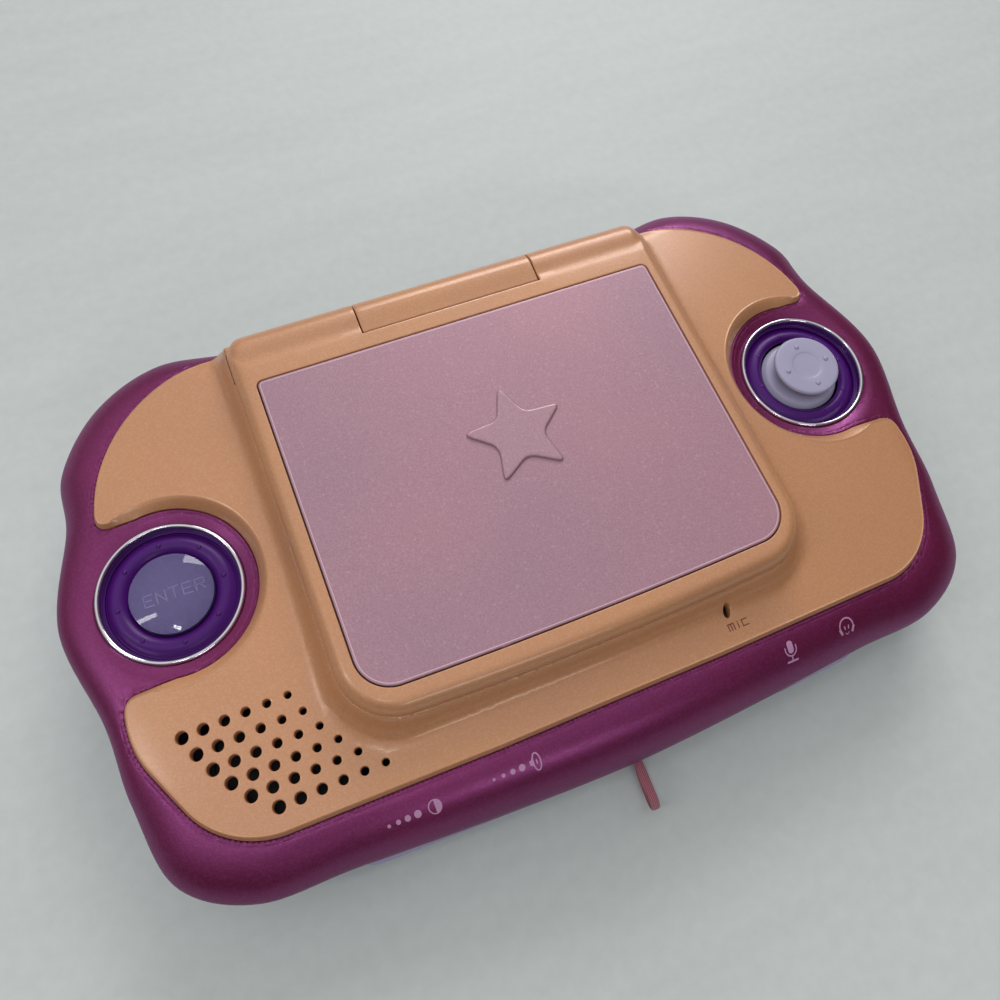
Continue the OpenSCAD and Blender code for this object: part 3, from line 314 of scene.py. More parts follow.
deckShape = {"circles": [(66.5, 24.55, 41), (87.5, -24.95, 24.5), (82.5, -36.45, 24), (30, -56.55, 5)],
             "podR": 22.2, "podBand": 21.9, "tip": 4.2, "wall": 2.0, "edge": 1.1, "gap": 0.2,
             "slope": 0.8, "podSlope": 1.9, "podBlend": 1.6, "foot": 0.06, "bead": 0.13, "beadW": 0.2,
             "bands": (0.08, 0.25, 0.45, 0.6, 0.72, 0.86, 1.02, 1.25, 1.5, 1.75, 2.0, 2.3, 2.6, 2.8,
                       2.95, 3.08, 3.2, 3.35, 3.6, 4.0)}


def deckOutline():
    # Hull of eight circles, bitten by the pods; the four tips left between them are rounded.
    pts = np.vstack([arcPoints(s * x, y, r, 0, 360, 240)[:-1] for x, y, r in deckShape["circles"] for s in (1, -1)])
    hull = resample(anticlockwise(pts[convex_hull_2d([Vector(p) for p in pts.tolist()])]), 0.5)
    right = hull[(hull[:, 0] > 0)]
    right = right[np.argsort(np.arctan2(right[:, 1] - ringY, right[:, 0]))]      # front middle to back middle
    band, tip = deckShape["podBand"], deckShape["tip"]
    low, high = right[right[:, 1] < ringY - band], right[right[:, 1] > ringY + band]
    bite = math.degrees(math.asin(band / deckShape["podR"]))
    arc = arcPoints(ringX, ringY, deckShape["podR"], 360 - bite, bite, 90)       # round the inner side
    tipLow, tipHigh = np.array([low[-1, 0], ringY - band]), np.array([high[0, 0], ringY + band])
    low, high = low[np.hypot(*(low - tipLow).T) > tip], high[np.hypot(*(high - tipHigh).T) > tip]

    def turn(a, corner, b):
        t = np.linspace(0, 1, 14)[1:-1, None]
        return (1 - t) ** 2 * a + 2 * t * (1 - t) * corner + t ** 2 * b

    half = np.vstack([low, turn(low[-1], tipLow, tipLow - [tip, 0]), [tipLow - [tip, 0]], arc,
                      [tipHigh - [tip, 0]], turn(tipHigh - [tip, 0], tipHigh, high[0]), high])
    half = half[half[:, 0] > 0.2]
    return anticlockwise(resample(np.vstack([half, half[::-1] * [-1, 1]]), 0.55))


deckLoop = deckOutline()


def offsetLoop(loop, d):
    # Moves every point of an anticlockwise loop outwards by d and drops points that fold over.
    q = loop - loopNormals(loop) * d
    return q[loopDistance(q, loop) > abs(d) * 0.97]


lidShape = {"halfW": 62.0, "front": -47.15, "bow": 1.3, "frontR": 15.0, "backR": 3.0,
            "top": 49.3, "split": 44.6, "round": 4.2}
hinge = {"y": 56.95, "z": 43.3, "r": 6.2, "half": 25.8, "apronR": 8.1}


def lidLoop(spread, back):
    # Straight sides and back, rounded corners and a slightly bowed front, spread outwards.
    w, f, b = lidShape["halfW"] + spread, lidShape["front"] - spread, hinge["y"] + back + spread
    rf, rb = max(lidShape["frontR"] + spread, 0.6), max(lidShape["backR"] + spread, 0.6)
    flat = w - rf
    side = np.vstack([arcPoints(w - rb, b - rb, rb, 90, 0, 6),
                      np.stack([np.full(20, w), np.linspace(b - rb, f + rf, 22)[1:-1]], -1),
                      arcPoints(w - rf, f + rf, rf, 0, -90, 14)])
    x = flat * (1 - 2 * np.arange(1, 30) / 30)
    front = np.stack([x, f - lidShape["bow"] * (1 - (x / flat) ** 2)], -1)
    backRow = np.stack([np.linspace(-(w - rb), w - rb, 40)[1:-1], np.full(38, b)], -1)
    return np.vstack([side, front, side[::-1] * [-1, 1], backRow])[::-1]


print("outlines ready")


def srgb(code, alpha=1.0):
    # sRGB hex to linear.
    c = np.array([int(code[i:i + 2], 16) for i in (1, 3, 5)]) / 255
    lin = np.where(c <= 0.04045, c / 12.92, ((c + 0.055) / 1.055) ** 2.4)
    return (*lin.tolist(), alpha)


def addNode(tree, kind, inputs=None, stops=(), **settings):
    # Adds one node, sets its properties and colour stops, then sets or links its inputs.
    n = tree.nodes.new("ShaderNode" + kind)
    for k, v in settings.items():
        setattr(n, k, v)
    for k, (place, colour) in enumerate(stops):
        row = n.color_ramp.elements
        stop = row[k] if k < len(row) else row.new(place)
        stop.position, stop.color = place, colour
    for k, v in (inputs or {}).items():
        if isinstance(v, bpy.types.NodeSocket):
            tree.links.new(v, n.inputs[k])
        else:
            n.inputs[k].default_value = v
    return n


def newMaterial(name):
    # An empty material, its tree and the piece's own coordinates.
    m = bpy.data.materials.new(name)
    m.use_nodes = True
    m.node_tree.nodes.clear()
    return m, m.node_tree, addNode(m.node_tree, "TexCoord").outputs["Object"]


def finishMaterial(m, surface):
    # The surface shader with its inputs, led to the output.
    shader = addNode(m.node_tree, "BsdfPrincipled", surface)
    addNode(m.node_tree, "OutputMaterial", {"Surface": shader.outputs[0]})
    return m


black, grey, white = ((v, v, v, 1) for v in (0, 0.2, 1))


def pearlPlastic(name, base, dark, flakeAndSparkle, grain=0.33, metal=0.45, rough=0.40, coat=0.25, spark=0.10, tilt=0.2,
                 spec=0.5, sheen="#FFFFFF", ior=1.5):
    # Moulded ABS with pearl flake: every flake tilts and tints a little, a random share of flakes painted paler
    # towards the flake colour as a painted sparkle, over a colour that drifts slowly across the moulding, under a
    # thin clear gloss. Real flakes are 0.05 to 0.1 mm; they are drawn grain millimetres across so that they show.
    m, t, co = newMaterial(name)
    cells = addNode(t, "TexVoronoi", {"Vector": co, "Scale": 1000 / grain})
    drift = addNode(t, "TexNoise", {"Vector": co, "Scale": 28.0, "Detail": 3.0})
    tone = addNode(t, "ValToRGB", {"Fac": drift.outputs["Fac"]}, [(0.3, srgb(dark)), (0.72, srgb(base))])
    cell = addNode(t, "SeparateColor", {"Color": cells.outputs["Color"]})
    # Per-flake brightness that mixes in the pale flake colour: partly the flakes' own tint, partly painted sparkle.
    paintedSparkle = addNode(t, "ValToRGB", {"Fac": cell.outputs["Red"]}, [(0.0, black), (0.5, grey), (1.0, white)])
    amount = addNode(t, "Math", {0: paintedSparkle.outputs["Color"], 1: spark}, operation="MULTIPLY")
    mix = addNode(t, "Mix", {"Factor": amount.outputs[0], "A": tone.outputs["Color"], "B": srgb(flakeAndSparkle)},
                  data_type="RGBA")
    bump = addNode(t, "Bump", {"Strength": tilt, "Distance": 0.0001, "Height": cell.outputs["Green"]})
    gloss = addNode(t, "MapRange", {"Value": cell.outputs["Blue"], "To Min": rough - 0.05, "To Max": rough + 0.06})
    return finishMaterial(m, {
        "Base Color": mix.outputs["Result"], "Roughness": gloss.outputs[0], "Normal": bump.outputs["Normal"],
        "Metallic": metal, "Coat Weight": coat, "Coat Roughness": 0.2, "IOR": ior, "Specular IOR Level": spec,
        "Specular Tint": srgb(sheen)})


def mouldedPlastic(name, base, rough=0.5, coat=0.0, spec=0.5, grain=0.5, depth=0.00003, variation=0.06):
    # Plain moulded ABS: fine spark-eroded grain about grain millimetres across, which dulls its gloss,
    # and a slight drift of tone.
    m, t, co = newMaterial(name)
    grit = addNode(t, "TexNoise", {"Vector": co, "Scale": 1000 / grain, "Detail": 2.0})
    drift = addNode(t, "TexNoise", {"Vector": co, "Scale": 45.0, "Detail": 4.0})
    col = np.array(srgb(base)[:3])
    lo, hi = col * (1 - variation), np.minimum(col * (1 + variation), 1)
    tone = addNode(t, "ValToRGB", {"Fac": drift.outputs["Fac"]}, [(0.35, (*lo, 1)), (0.68, (*hi, 1))])
    bump = addNode(t, "Bump", {"Strength": 0.3, "Distance": depth, "Height": grit.outputs["Fac"]})
    gloss = addNode(t, "MapRange", {"Value": grit.outputs["Fac"], "To Min": rough - 0.06, "To Max": rough + 0.08})
    return finishMaterial(m, {
        "Base Color": tone.outputs["Color"], "Roughness": gloss.outputs[0], "Normal": bump.outputs["Normal"],
        "IOR": 1.5, "Coat Weight": coat, "Specular IOR Level": spec})


def platedMetal(name, base, rough, smear):
    # Chrome or zinc plating: bright, with faint wipe marks in its gloss.
    m, t, co = newMaterial(name)
    marks = addNode(t, "TexNoise", {"Vector": co, "Scale": 220.0, "Detail": 5.0}).outputs["Fac"]
    gloss = addNode(t, "MapRange", {"Value": marks, "To Min": rough, "To Max": rough + smear})
    col = np.array(srgb(base)[:3])
    tone = addNode(t, "ValToRGB", {"Fac": marks}, [(0.3, (*(col * 0.9), 1)), (0.7, (*col, 1))])
    return finishMaterial(m, {
        "Base Color": tone.outputs["Color"], "Roughness": gloss.outputs[0], "Metallic": 1.0})


def clearLens(name, tint):
    # Polished clear acrylic with a slight tint and dust-fine haze.
    m, t, co = newMaterial(name)
    haze = addNode(t, "TexNoise", {"Vector": co, "Scale": 400.0, "Detail": 3.0})
    gloss = addNode(t, "MapRange", {"Value": haze.outputs["Fac"], "To Min": 0.02, "To Max": 0.10})
    return finishMaterial(m, {
        "Base Color": srgb(tint), "Roughness": gloss.outputs[0], "Transmission Weight": 1.0, "IOR": 1.49})


# The glint and spark colours are pale specks painted on random glitter cells: painted glints.
foilTones = {"low": "#9A7282", "high": "#A67684", "glint": "#EAD6DE", "spark": "#F4DCE4", "scratch": "#DCC8D2",
             "glintShare": 0.11, "sparkShare": 0.07, "scratchShare": 0.05}


def panelFoil(name, coat=0.35, coatRough=0.2):
    # Mauve foil under a clear cover: dense fine glitter of two sizes, tilted every way, its glints painted as pale
    # specks, a glossy sheet above it, and hairline scratches from use. Glitter is drawn 0.25 and 0.6 mm across to
    # show.
    m, t, co = newMaterial(name)
    fine = addNode(t, "TexVoronoi", {"Vector": co, "Scale": 3800.0})
    big = addNode(t, "TexVoronoi", {"Vector": co, "Scale": 1700.0})
    drift = addNode(t, "TexNoise", {"Vector": co, "Scale": 14.0, "Detail": 2.0})
    fineCell = addNode(t, "SeparateColor", {"Color": fine.outputs["Color"]})
    bigCell = addNode(t, "SeparateColor", {"Color": big.outputs["Color"]})
    along = addNode(t, "Mapping", {"Vector": co, "Scale": (60.0, 2600.0, 60.0), "Rotation": (0.0, 0.0, 0.9)})
    lines = addNode(t, "TexNoise", {"Vector": along.outputs[0], "Scale": 1.0, "Detail": 2.0})
    pick = addNode(t, "ValToRGB", {"Fac": bigCell.outputs["Green"]}, [(0.93, black), (0.99, white)])
    hair = addNode(t, "ValToRGB", {"Fac": lines.outputs["Fac"]}, [(0.70, black), (0.76, white)])
    tone = addNode(t, "ValToRGB", {"Fac": drift.outputs["Fac"]},
                   [(0.35, srgb(foilTones["low"])), (0.65, srgb(foilTones["high"]))]).outputs["Color"]
    # Glint and spark lay painted glints on the glitter; scratch lays pale hairline scratches from use.
    for what, mask in (("glint", fineCell.outputs["Red"]), ("spark", pick.outputs["Color"]),
                       ("scratch", hair.outputs["Color"])):
        share = addNode(t, "Math", {0: mask, 1: foilTones[what + "Share"]}, operation="MULTIPLY")
        tone = addNode(t, "Mix", {"Factor": share.outputs[0], "A": tone, "B": srgb(foilTones[what])},
                       data_type="RGBA").outputs["Result"]
    bump = addNode(t, "Bump", {"Strength": 0.2, "Distance": 0.0001, "Height": fineCell.outputs["Green"]})
    return finishMaterial(m, {
        "Base Color": tone, "Roughness": 0.42, "Normal": bump.outputs["Normal"],
        "Metallic": 0.2, "Coat Weight": coat, "Coat Roughness": coatRough, "IOR": 1.49})


def wovenTape(name, base, dark):
    # Woven polyester tape: ribs along it every 0.5 mm, read from the piece's own UV map; the tone darkens in the rib
    # valleys as painted shade.
    m, t, _ = newMaterial(name)
    uv = addNode(t, "UVMap", uv_map="along").outputs[0]
    wave = addNode(t, "TexWave", {"Vector": uv, "Scale": 6.3, "Distortion": 0.8}, bands_direction="Y")
    # Dark in the valleys of the ribs, where the bump is lowest: painted shade between the ribs.
    tone = addNode(t, "ValToRGB", {"Fac": wave.outputs["Fac"]}, [(0.1, srgb(dark)), (0.6, srgb(base))])
    bump = addNode(t, "Bump", {"Strength": 0.6, "Distance": 0.00015, "Height": wave.outputs["Fac"]})
    return finishMaterial(m, {
        "Base Color": tone.outputs["Color"], "Roughness": 0.85, "Normal": bump.outputs["Normal"],
        "Sheen Weight": 0.3})


looks = {
    "peach": pearlPlastic("pearlPeachAbs", "#C08558", "#BA815B", "#F0D8BC", metal=0.12, coat=0.5),
    "magenta": pearlPlastic("pearlMagentaAbs", "#68102F", "#5E0C28", "#B070C0", metal=0.3, rough=0.36, coat=0.0,
                            spark=0.08, spec=1.0, sheen="#D68CE6", ior=1.78),
    "lilac": mouldedPlastic("satinLilacAbs", "#A79CC0"),
    "violet": mouldedPlastic("satinVioletAbs", "#440E66", 0.34, spec=0.22),
    "stick": mouldedPlastic("satinGreyLilac", "#9D99B4", 0.42),
    "chrome": platedMetal("platedChrome", "#D4D0D8", 0.08, 0.06),
    "steel": platedMetal("zincPlatedSteel", "#A9ABB0", 0.3, 0.1),
    "tray": mouldedPlastic("satinPlumAbs", "#8A6A96", 0.45),
    "dark": mouldedPlastic("blackAbs", "#1B1B20"),
    "board": mouldedPlastic("solderMask", "#1B5A38", 0.35),
    "silicone": mouldedPlastic("siliconeRubber", "#B9B9BC", 0.7),
    "rubber": mouldedPlastic("blackRubber", "#16161A", 0.8),
    "cell": mouldedPlastic("cellJacket", "#B88E32", 0.3),
    "button": pearlPlastic("metallicVioletAbs", "#62508C", "#574580", "#C6BAEE"),
    "lens": clearLens("clearAcrylic", "#E6E2F6"),
    "panel": panelFoil("glitterFoilPanel"),
    "star": panelFoil("clearRaisedEmblem", 1.0, 0.05),
    "red": mouldedPlastic("glossRedAbs", "#C0222C", 0.25, 0.4),
    "yellow": mouldedPlastic("glossYellowAbs", "#E6B523", 0.25, 0.4),
    "blue": mouldedPlastic("glossBlueAbs", "#2546B8", 0.25, 0.4),
    "green": mouldedPlastic("glossGreenAbs", "#1F9A4A", 0.25, 0.4),
    # The second colour is painted shade for the valleys between the ribs.
    "tape": wovenTape("wovenTape", "#B06A78", "#7E4150"),
    "ink": mouldedPlastic("palePinkInk", "#B987AE"),
    "brownInk": mouldedPlastic("redBrownInk", "#7C3A34"),
    "paleInk": mouldedPlastic("paleLilacInk", "#A79AC8"),
    # A pale colour laid along the cover's edge as a painted highlight of its rounded edge.
    "edgeHighlightPaint": mouldedPlastic("paintedEdgeHighlight", "#D3ACB8", 0.3),
}
slotLooks = {
    "peach_plastic": "peach", "magenta_plastic": "magenta", "lilac_plastic": "lilac", "violet_plastic": "violet",
    "stick_plastic": "stick", "chrome_trim": "chrome", "steel_parts": "steel", "tray_plastic": "tray",
    "dark_plastic": "dark", "circuit_board": "board", "silicone_rubber": "silicone", "black_rubber": "rubber",
    "cell_jacket": "cell", "tape_fabric": "tape", "button_plastic": "button", "clear_lens": "lens",
    "panel_plastic": "panel", "red_plastic": "red", "yellow_plastic": "yellow", "blue_plastic": "blue",
    "green_plastic": "green",
}


slotOf = {s["node"]: s["material_slot"] for s in frame["record"]["subparts"]}
for nodeName, nodeObject in frame["nodes"].items():
    nodeObject.data.materials.clear()
    nodeObject.data.materials.append(looks[slotLooks[slotOf[nodeName]]])
print("materials ready")


def dress(piece, look, slot, *replaced):
    # Gives a new piece its material and hides the nodes it stands for. Its slot argument is not used.
    piece.data.materials.clear()
    piece.data.materials.append(looks[look])
    if replaced:
        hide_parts(*replaced)


tapeShape = {"width": 2.4, "thick": 0.9, "corner": 0.6, "sides": 20}
tapeRoute = np.array([
    [4.4, -64.0, 11.6], [4.4, -68.0, 11.6], [4.4, -72.0, 11.4], [4.4, -76.0, 11.0], [4.4, -80.0, 10.6],
    [4.4, -84.0, 10.2], [4.6, -87.4, 9.0], [4.9, -89.6, 6.2], [5.2, -88.8, 3.2], [5.6, -86.0, 1.6],
    [5.9, -82.0, 1.4], [6.2, -78.0, 2.2], [6.4, -74.0, 4.4], [6.6, -70.0, 6.4], [6.6, -66.0, 7.3],
    [6.6, -64.0, 7.4]])


def smoothPath(points, steps):
    # Catmull-Rom curve through an open row of points.
    p = np.vstack([2 * points[0] - points[1], points, 2 * points[-1] - points[-2]])
    t = (np.arange(steps) / steps)[None, :, None]
    a, b, c, d = (p[i:len(p) - 3 + i][:, None] for i in range(4))
    q = 0.5 * (2 * b + (c - a) * t + (2 * a - 5 * b + 4 * c - d) * t ** 2 + (3 * b - a - 3 * c + d) * t ** 3)
    return np.vstack([q.reshape(-1, 3), points[-1:]])


def makeTape():
    # A superellipse section carried along the route, its width kept along X. Its UV map holds the
    # way along the tape and across it.
    path, n = smoothPath(tapeRoute, 5), tapeShape["sides"]
    ahead = np.gradient(path, axis=0)
    ahead /= np.linalg.norm(ahead, axis=1, keepdims=True)
    across = np.array([1.0, 0, 0]) - ahead * ahead[:, :1]
    across /= np.linalg.norm(across, axis=1, keepdims=True)
    up = np.cross(ahead, across)
    a = np.linspace(0, 2 * np.pi, n, endpoint=False)
    sx, sy = (np.sign(w) * np.abs(w) ** tapeShape["corner"] * tapeShape[size] / 2
              for w, size in ((np.cos(a), "width"), (np.sin(a), "thick")))
    pts = (path[:, None] + across[:, None] * sx[None, :, None] + up[:, None] * sy[None, :, None]).reshape(-1, 3)
    ends = [list(range(n - 1, -1, -1)), list(range(len(pts) - n, len(pts)))]
    piece = meshFrom("wovenTapeLoop", pts, gridFaces(len(path), n).tolist() + ends, "base", 50, merge=0.0001)
    length = np.concatenate([[0], np.cumsum(np.linalg.norm(np.diff(path, axis=0), axis=1))])
    vi = np.empty(len(piece.data.loops), np.int32)
    piece.data.loops.foreach_get("vertex_index", vi)
    co = np.empty(len(piece.data.vertices) * 3)
    piece.data.vertices.foreach_get("co", co)
    co = co.reshape(-1, 3) * 1000
    near = np.argmin(((co[:, None] - path[None]) ** 2).sum(-1), 1)
    sideways = ((co - path[near]) * across[near]).sum(1)
    uv = np.stack([length[near][vi] * 0.1, sideways[vi] * 0.1], -1)
    piece.data.uv_layers.new(name="along").data.foreach_set("uv", uv.ravel())
    dress(piece, "tape", "tape_fabric", "tape_loop")


makeTape()
print("tape loop ready")


port = {"y": 48.05, "z": 24.0, "bore": 3.35, "lip": 5.6, "rod": 3.2, "tip": 22.0,
        "sleeve": (20.0, 111.0), "sleeveR": 4.45}
upperShape = {"band": 3.6, "power": 2.2, "grid": 1.5, "ledge": 2.3, "drop": 1.6, "bore": 18.62, "boreDeep": 2.0,
              "lip": 0.25, "grooveD": 0.10, "grooveAt": 1.05, "grooveW": 0.15,
              "foot": ((2.2, 4.0), (0.0, 3.8), (0.0, 0.75), (0.25, 0.52))}      # above the parting, inset
upperBands = {"bands": (0.8, 1.7), "bandHoles": (0.5, 1.4, 2.8, 3.1, 3.35, 3.5, 3.63, 3.76, 3.92, 4.2, 4.7)}


def makeUpperShell():
    # The rim is the outline, drawn in row by row and set at the dome's height there; inside it the dome
    # is a height over a flat net, with a step down where the deck lies and a cone around each pod.
    work, parting, waist = Patches(), bodyShape["partingZ"], bodyShape["waistZ"]
    rows = [raised(outline + outlineIn * inset, parting + up) for up, inset in upperShape["foot"]]
    rows += [raised(outline + outlineIn * ((waist - z) / 8), z) for z in np.linspace(parting + 1, waist, 4)]
    for inset in upperShape["band"] * np.linspace(0, 1, 18)[1:] ** upperShape["power"]:
        p = outline + outlineIn * inset
        rows.append(raised(p, shellHeight(p, np.full(len(p), inset))))
    rim, quads = np.concatenate(rows), gridFaces(len(rows), len(outline))
    offAxis = np.hypot(rim[:, 1] - port["y"], rim[:, 2] - port["z"]) + np.where(rim[:, 0] > 0, 0, 99)
    work.add(rim, quads[offAxis[quads].min(1) > port["bore"] + 0.05])            # open at the stylus channel
    deckOut, deckIn = (offsetLoop(deckLoop, deckShape["gap"] - d) for d in (0, 0.1))
    hole = resample(offsetLoop(deckLoop, -upperShape["ledge"]), 1.2)
    bores = [arcPoints(s * ringX, ringY, upperShape["bore"], 0, 360, 160)[:-1] for s in (1, -1)]
    v, f = sheetMesh(outline + outlineIn * upperShape["band"], [hole] + bores, upperShape["grid"],
                     extraLoops=[anticlockwise(deckOut), anticlockwise(deckIn)], **upperBands)
    under = insideLoop(v, offsetLoop(deckLoop, deckShape["gap"] - 0.04))
    toDeck = loopDistance(v, deckOut)
    groove = upperShape["grooveD"] * np.exp(-((toDeck - upperShape["grooveAt"]) / upperShape["grooveW"]) ** 2)
    z = shellHeight(v, loopDistance(v, outline))
    z = z - np.where(under, upperShape["drop"], bevelDrop(toDeck, upperShape["lip"]) + groove)
    brink, seat = ringZ - 0.05, ringZ - upperShape["boreDeep"]
    work.add(raised(v, np.where(podRadius(v) < upperShape["bore"] + 0.02, brink, z)), f)
    for b in bores:                                     # walls of the ring bores
        axis = [np.sign(b[0, 0]) * ringX, ringY]
        work.strip([raised(b, brink), raised(b, seat), raised((b - axis) * 0.9 + axis, seat)], True)
    dress(work.build("upperShellSkin", "base", 32, 0.01), "magenta", "magenta_plastic", "upper_shell")


def surfaceX(yz):
    # How far out the shell's right side lies at each (y, z), found by halving.
    lo, hi = np.full(len(yz), 98.0), np.full(len(yz), 120.0)
    for _ in range(22):
        mid = (lo + hi) / 2
        q = np.column_stack([mid, yz[:, 0]])
        inset, z = loopDistance(q, outline), yz[:, 1]
        skirt = np.maximum(bodyShape["waistZ"] - z, 0) / 8
        inner = insideLoop(q, outline) & (inset >= skirt) & (shellHeight(q, inset) >= z)
        lo, hi = np.where(inner, mid, lo), np.where(inner, hi, mid)
    return lo


def makeStylus():
    # Circles about the stylus axis, each at a place along X or, for None, lifted off the shell's surface:
    # a plain rod whose end follows the shell, its dark sleeve, and the lip round the channel's mouth.
    rod, bore, lip, tip, tube, (x0, x1) = (port[k] for k in ("rod", "bore", "lip", "tip", "sleeveR", "sleeve"))
    rodRows = [(tip, 0.05, 0), (tip + 0.1, 0.5, 0), (tip + 1.2, 1.3, 0), (tip + 6, rod, 0), (108.0, rod, 0),
               (None, rod, -0.3), (None, rod - 0.25, 0.05), (None, rod * 0.6, 0.12), (None, 0.05, 0.14)]
    sleeveRows = [(x0, 0.05, 0), (x0, tube, 0), (x1, tube, 0), (x1, bore, 0), (x0 + 1, bore, 0), (x0 + 1, 0.05, 0)]
    lipRows = [(x1 + 0.2, bore, 0), (None, bore, -0.25), (None, bore + 0.2, 0.1), (None, lip - 0.4, 0.1),
               (None, lip, -0.12)]
    a = np.linspace(0, 2 * np.pi, 64, endpoint=False)
    for name, rows, body, sharp, look, slot, *replaced in (
            ("stylusRod", rodRows, "stylus", 40, "lilac", "lilac_plastic", "stylus"),
            ("stylusSleeve", sleeveRows, "base", 40, "dark", "dark_plastic", "stylus_tube"),
            ("stylusPort", lipRows, "base", 50, "magenta", "magenta_plastic")):
        work, rings = Patches(), []
        for x, r, lift in rows:
            yz = np.column_stack([port["y"] + r * np.cos(a), port["z"] + r * np.sin(a)])
            rings.append(standing(x if x else surfaceX(yz) + lift, yz))
        work.strip(rings, name != "stylusPort")
        dress(work.build(name, body, sharp), look, slot, *replaced)


lowerShape = {"top": 16.85, "inset": 0.9, "width": 12.0, "depth": 15.85, "proud": 0.1, "scale": 14.0,
              "end": 1.42, "wall": 2.6, "lip": 0.9, "grid": 1.5}
lowerBulges = [(-74.0, -5.0, 1.9), (42.0, 76.0, 1.9)]       # from x, to x, how far out
lowerOpenings = [                                           # at the back, x, z, radius or half width and height
    (True, 0.0, 9.9, (39.35, 6.5)), (True, 48.0, 13.0, 4.6), (True, 67.0, 13.0, 4.6), (True, -60.0, 11.0, 4.83),
    (False, 5.5, 9.2, (3.5, 4.6))]
wheelGaps = {"at": ((-57.0, -63.65), (-27.0, -64.85)), "r": 11.3, "low": 11.25, "high": 15.95}


def makeLowerShell():
    # A quarter ellipse swept round the outline, drawn out a little along the front, with its openings.
    # The net lies in the plane of distance round the outline and scaled angle down the section.
    loop = bodyOutline(64)
    loop = np.roll(loop, -int(np.argmin(loop[:, 0])), axis=0)
    table = np.hstack([loop, loopNormals(loop)])
    table = np.vstack([table, table[:1]])
    along = np.append(0, np.cumsum(np.hypot(*np.diff(table[:, :2], axis=0).T)))
    full, scale = along[-1], lowerShape["scale"]

    def place(sv, deeper=0.0):
        x, y, nx, ny = (np.interp(sv[:, 0] % full, along, table[:, k]) for k in range(4))
        a = sv[:, 1] / scale
        z = lowerShape["top"] - lowerShape["depth"] * np.sin(a)
        out = sum(d * smoothStep(np.clip((x - x0) / 7, 0, 1) * np.clip((x1 - x) / 7, 0, 1)) * (y < 0)
                  for x0, x1, d in lowerBulges)
        out = out * smoothStep((z - 4) / 5) * (1 - 0.4 * np.clip((z - 16.0) / 0.85, 0, 1) ** 2)
        inset = lowerShape["inset"] + lowerShape["width"] * (1 - np.cos(a)) - lowerShape["proud"] - out + deeper
        return np.column_stack([x + nx * inset, y + ny * inset, z])

    def downAt(z):
        return scale * np.arcsin(np.clip((lowerShape["top"] - z) / lowerShape["depth"], 0.002, 1))

    def alongAt(x, back):
        row = (table[:-1, 1] > 0) == back
        order = np.argsort(table[:-1][row, 0])
        return np.interp(x, table[:-1][row, 0][order], along[:-1][row][order])

    holes = []
    for back, x, z, size in lowerOpenings:
        if isinstance(size, tuple):
            hw, hh = size
            xz = resample(np.array([[x - hw, z - hh], [x + hw, z - hh], [x + hw, z + hh], [x - hw, z + hh]]), 1.0)
        else:
            xz = arcPoints(x, z, size, 0, 360, 48)[:-1]
        holes.append(anticlockwise(np.column_stack([alongAt(xz[:, 0], back), downAt(xz[:, 1])])))
    for cx, cy in wheelGaps["at"]:                       # where the thumbwheels' circles cut the skin
        levels, middle = np.linspace(wheelGaps["low"], wheelGaps["high"], 6), alongAt(cx, False)
        s, sides = middle + np.linspace(-14, 14, 561), []
        for z in levels:
            p = place(np.column_stack([s, np.full(561, downAt(z))]))
            cut = s[np.hypot(p[:, 0] - cx, p[:, 1] - cy) < wheelGaps["r"]]
            sides.append((cut.min(), cut.max()) if len(cut) else (middle - 1, middle + 1))
        sides, v = np.array(sides), downAt(levels)
        wide = [np.linspace(*sides[k], 8)[1:-1] for k in (0, -1)]
        holes.append(anticlockwise(np.vstack([
            np.column_stack([sides[:, 0], v]), raised(wide[1][:, None], v[-1]),
            np.column_stack([sides[::-1, 1], v[::-1]]), raised(wide[0][::-1, None], v[0])])))
    deep = scale * lowerShape["end"]
    s, downs = np.linspace(0, full, int(full / 1.3))[:, None], np.linspace(0, deep, 16)[1:-1, None]
    outer = np.vstack([raised(s, 0.0), standing(full, downs), raised(s[::-1], deep), standing(0.0, downs[::-1])])
    v, f = sheetMesh(outer, holes, lowerShape["grid"])
    work = Patches()
    work.add(place(v), f, True)
    for h in holes:
        work.strip([place(h), place(h, lowerShape["wall"])], True)
    for down, flip, up in ((0.0, False, 0.0), (deep, True, 0.25)):
        row = raised(s[:-1], down)
        work.strip([place(row), place(row, lowerShape["lip"]) + [0, 0, up]], flip)
    dress(work.build("lowerShellSkin", "base", 40, 0.01), "lilac", "lilac_plastic")


makeUpperShell()
makeStylus()
makeLowerShell()
print("shells and stylus ready")

grille = {"rows": [(-99.9, -36.0), (-97.7, -40.9), (-95.1, -45.6), (-92.0, -50.1), (-88.6, -54.5), (-83.4, -59.2)],
          "count": 6, "pitch": 5.2, "r": 1.55, "step": 0.13, "lip": 0.3, "deep": 2.6}
micSlot = {"x": 35.2, "y": -51.85, "tilt": 0.2, "halfW": 0.95, "halfL": 1.75}
shoulderCurve = np.array([                                  # distance from the lid, height above the rings
    [-4.0, 11.3], [0.2, 11.3], [0.45, 11.0], [0.75, 10.45], [1.1, 9.75], [1.7, 8.35], [2.6, 6.7],
    [3.7, 5.1], [5.0, 3.2], [6.5, 0.5], [8.0, -3.0]])
recess = {"inset": 3.0, "back": -5.4, "floor": 35.5, "round": 0.35, "land": 44.3, "blend": 2.6,
          "rows": (-0.3, 0.05, 0.3, 0.55, 0.85, 1.2, 1.7, 2.4, 3.3, 4.4)}
trough = {"r": 6.7, "half": 62.12, "lowZ": 39.9, "backY": 65.55, "round": 0.3}


def deckHeight(v):
    # Dome plus the deck's thickness, joined softly to the sweep that rises to the lid.
    edge = lidLoop(0.0, hinge["r"])
    e = loopDistance(v, edge) * np.where(insideLoop(v, edge), -1, 1)
    sweep = ringZ + np.interp(e, *shoulderCurve.T)
    return -softMin(-(domeHeight(v) + bodyShape["deckProud"]), -sweep, recess["blend"]), e


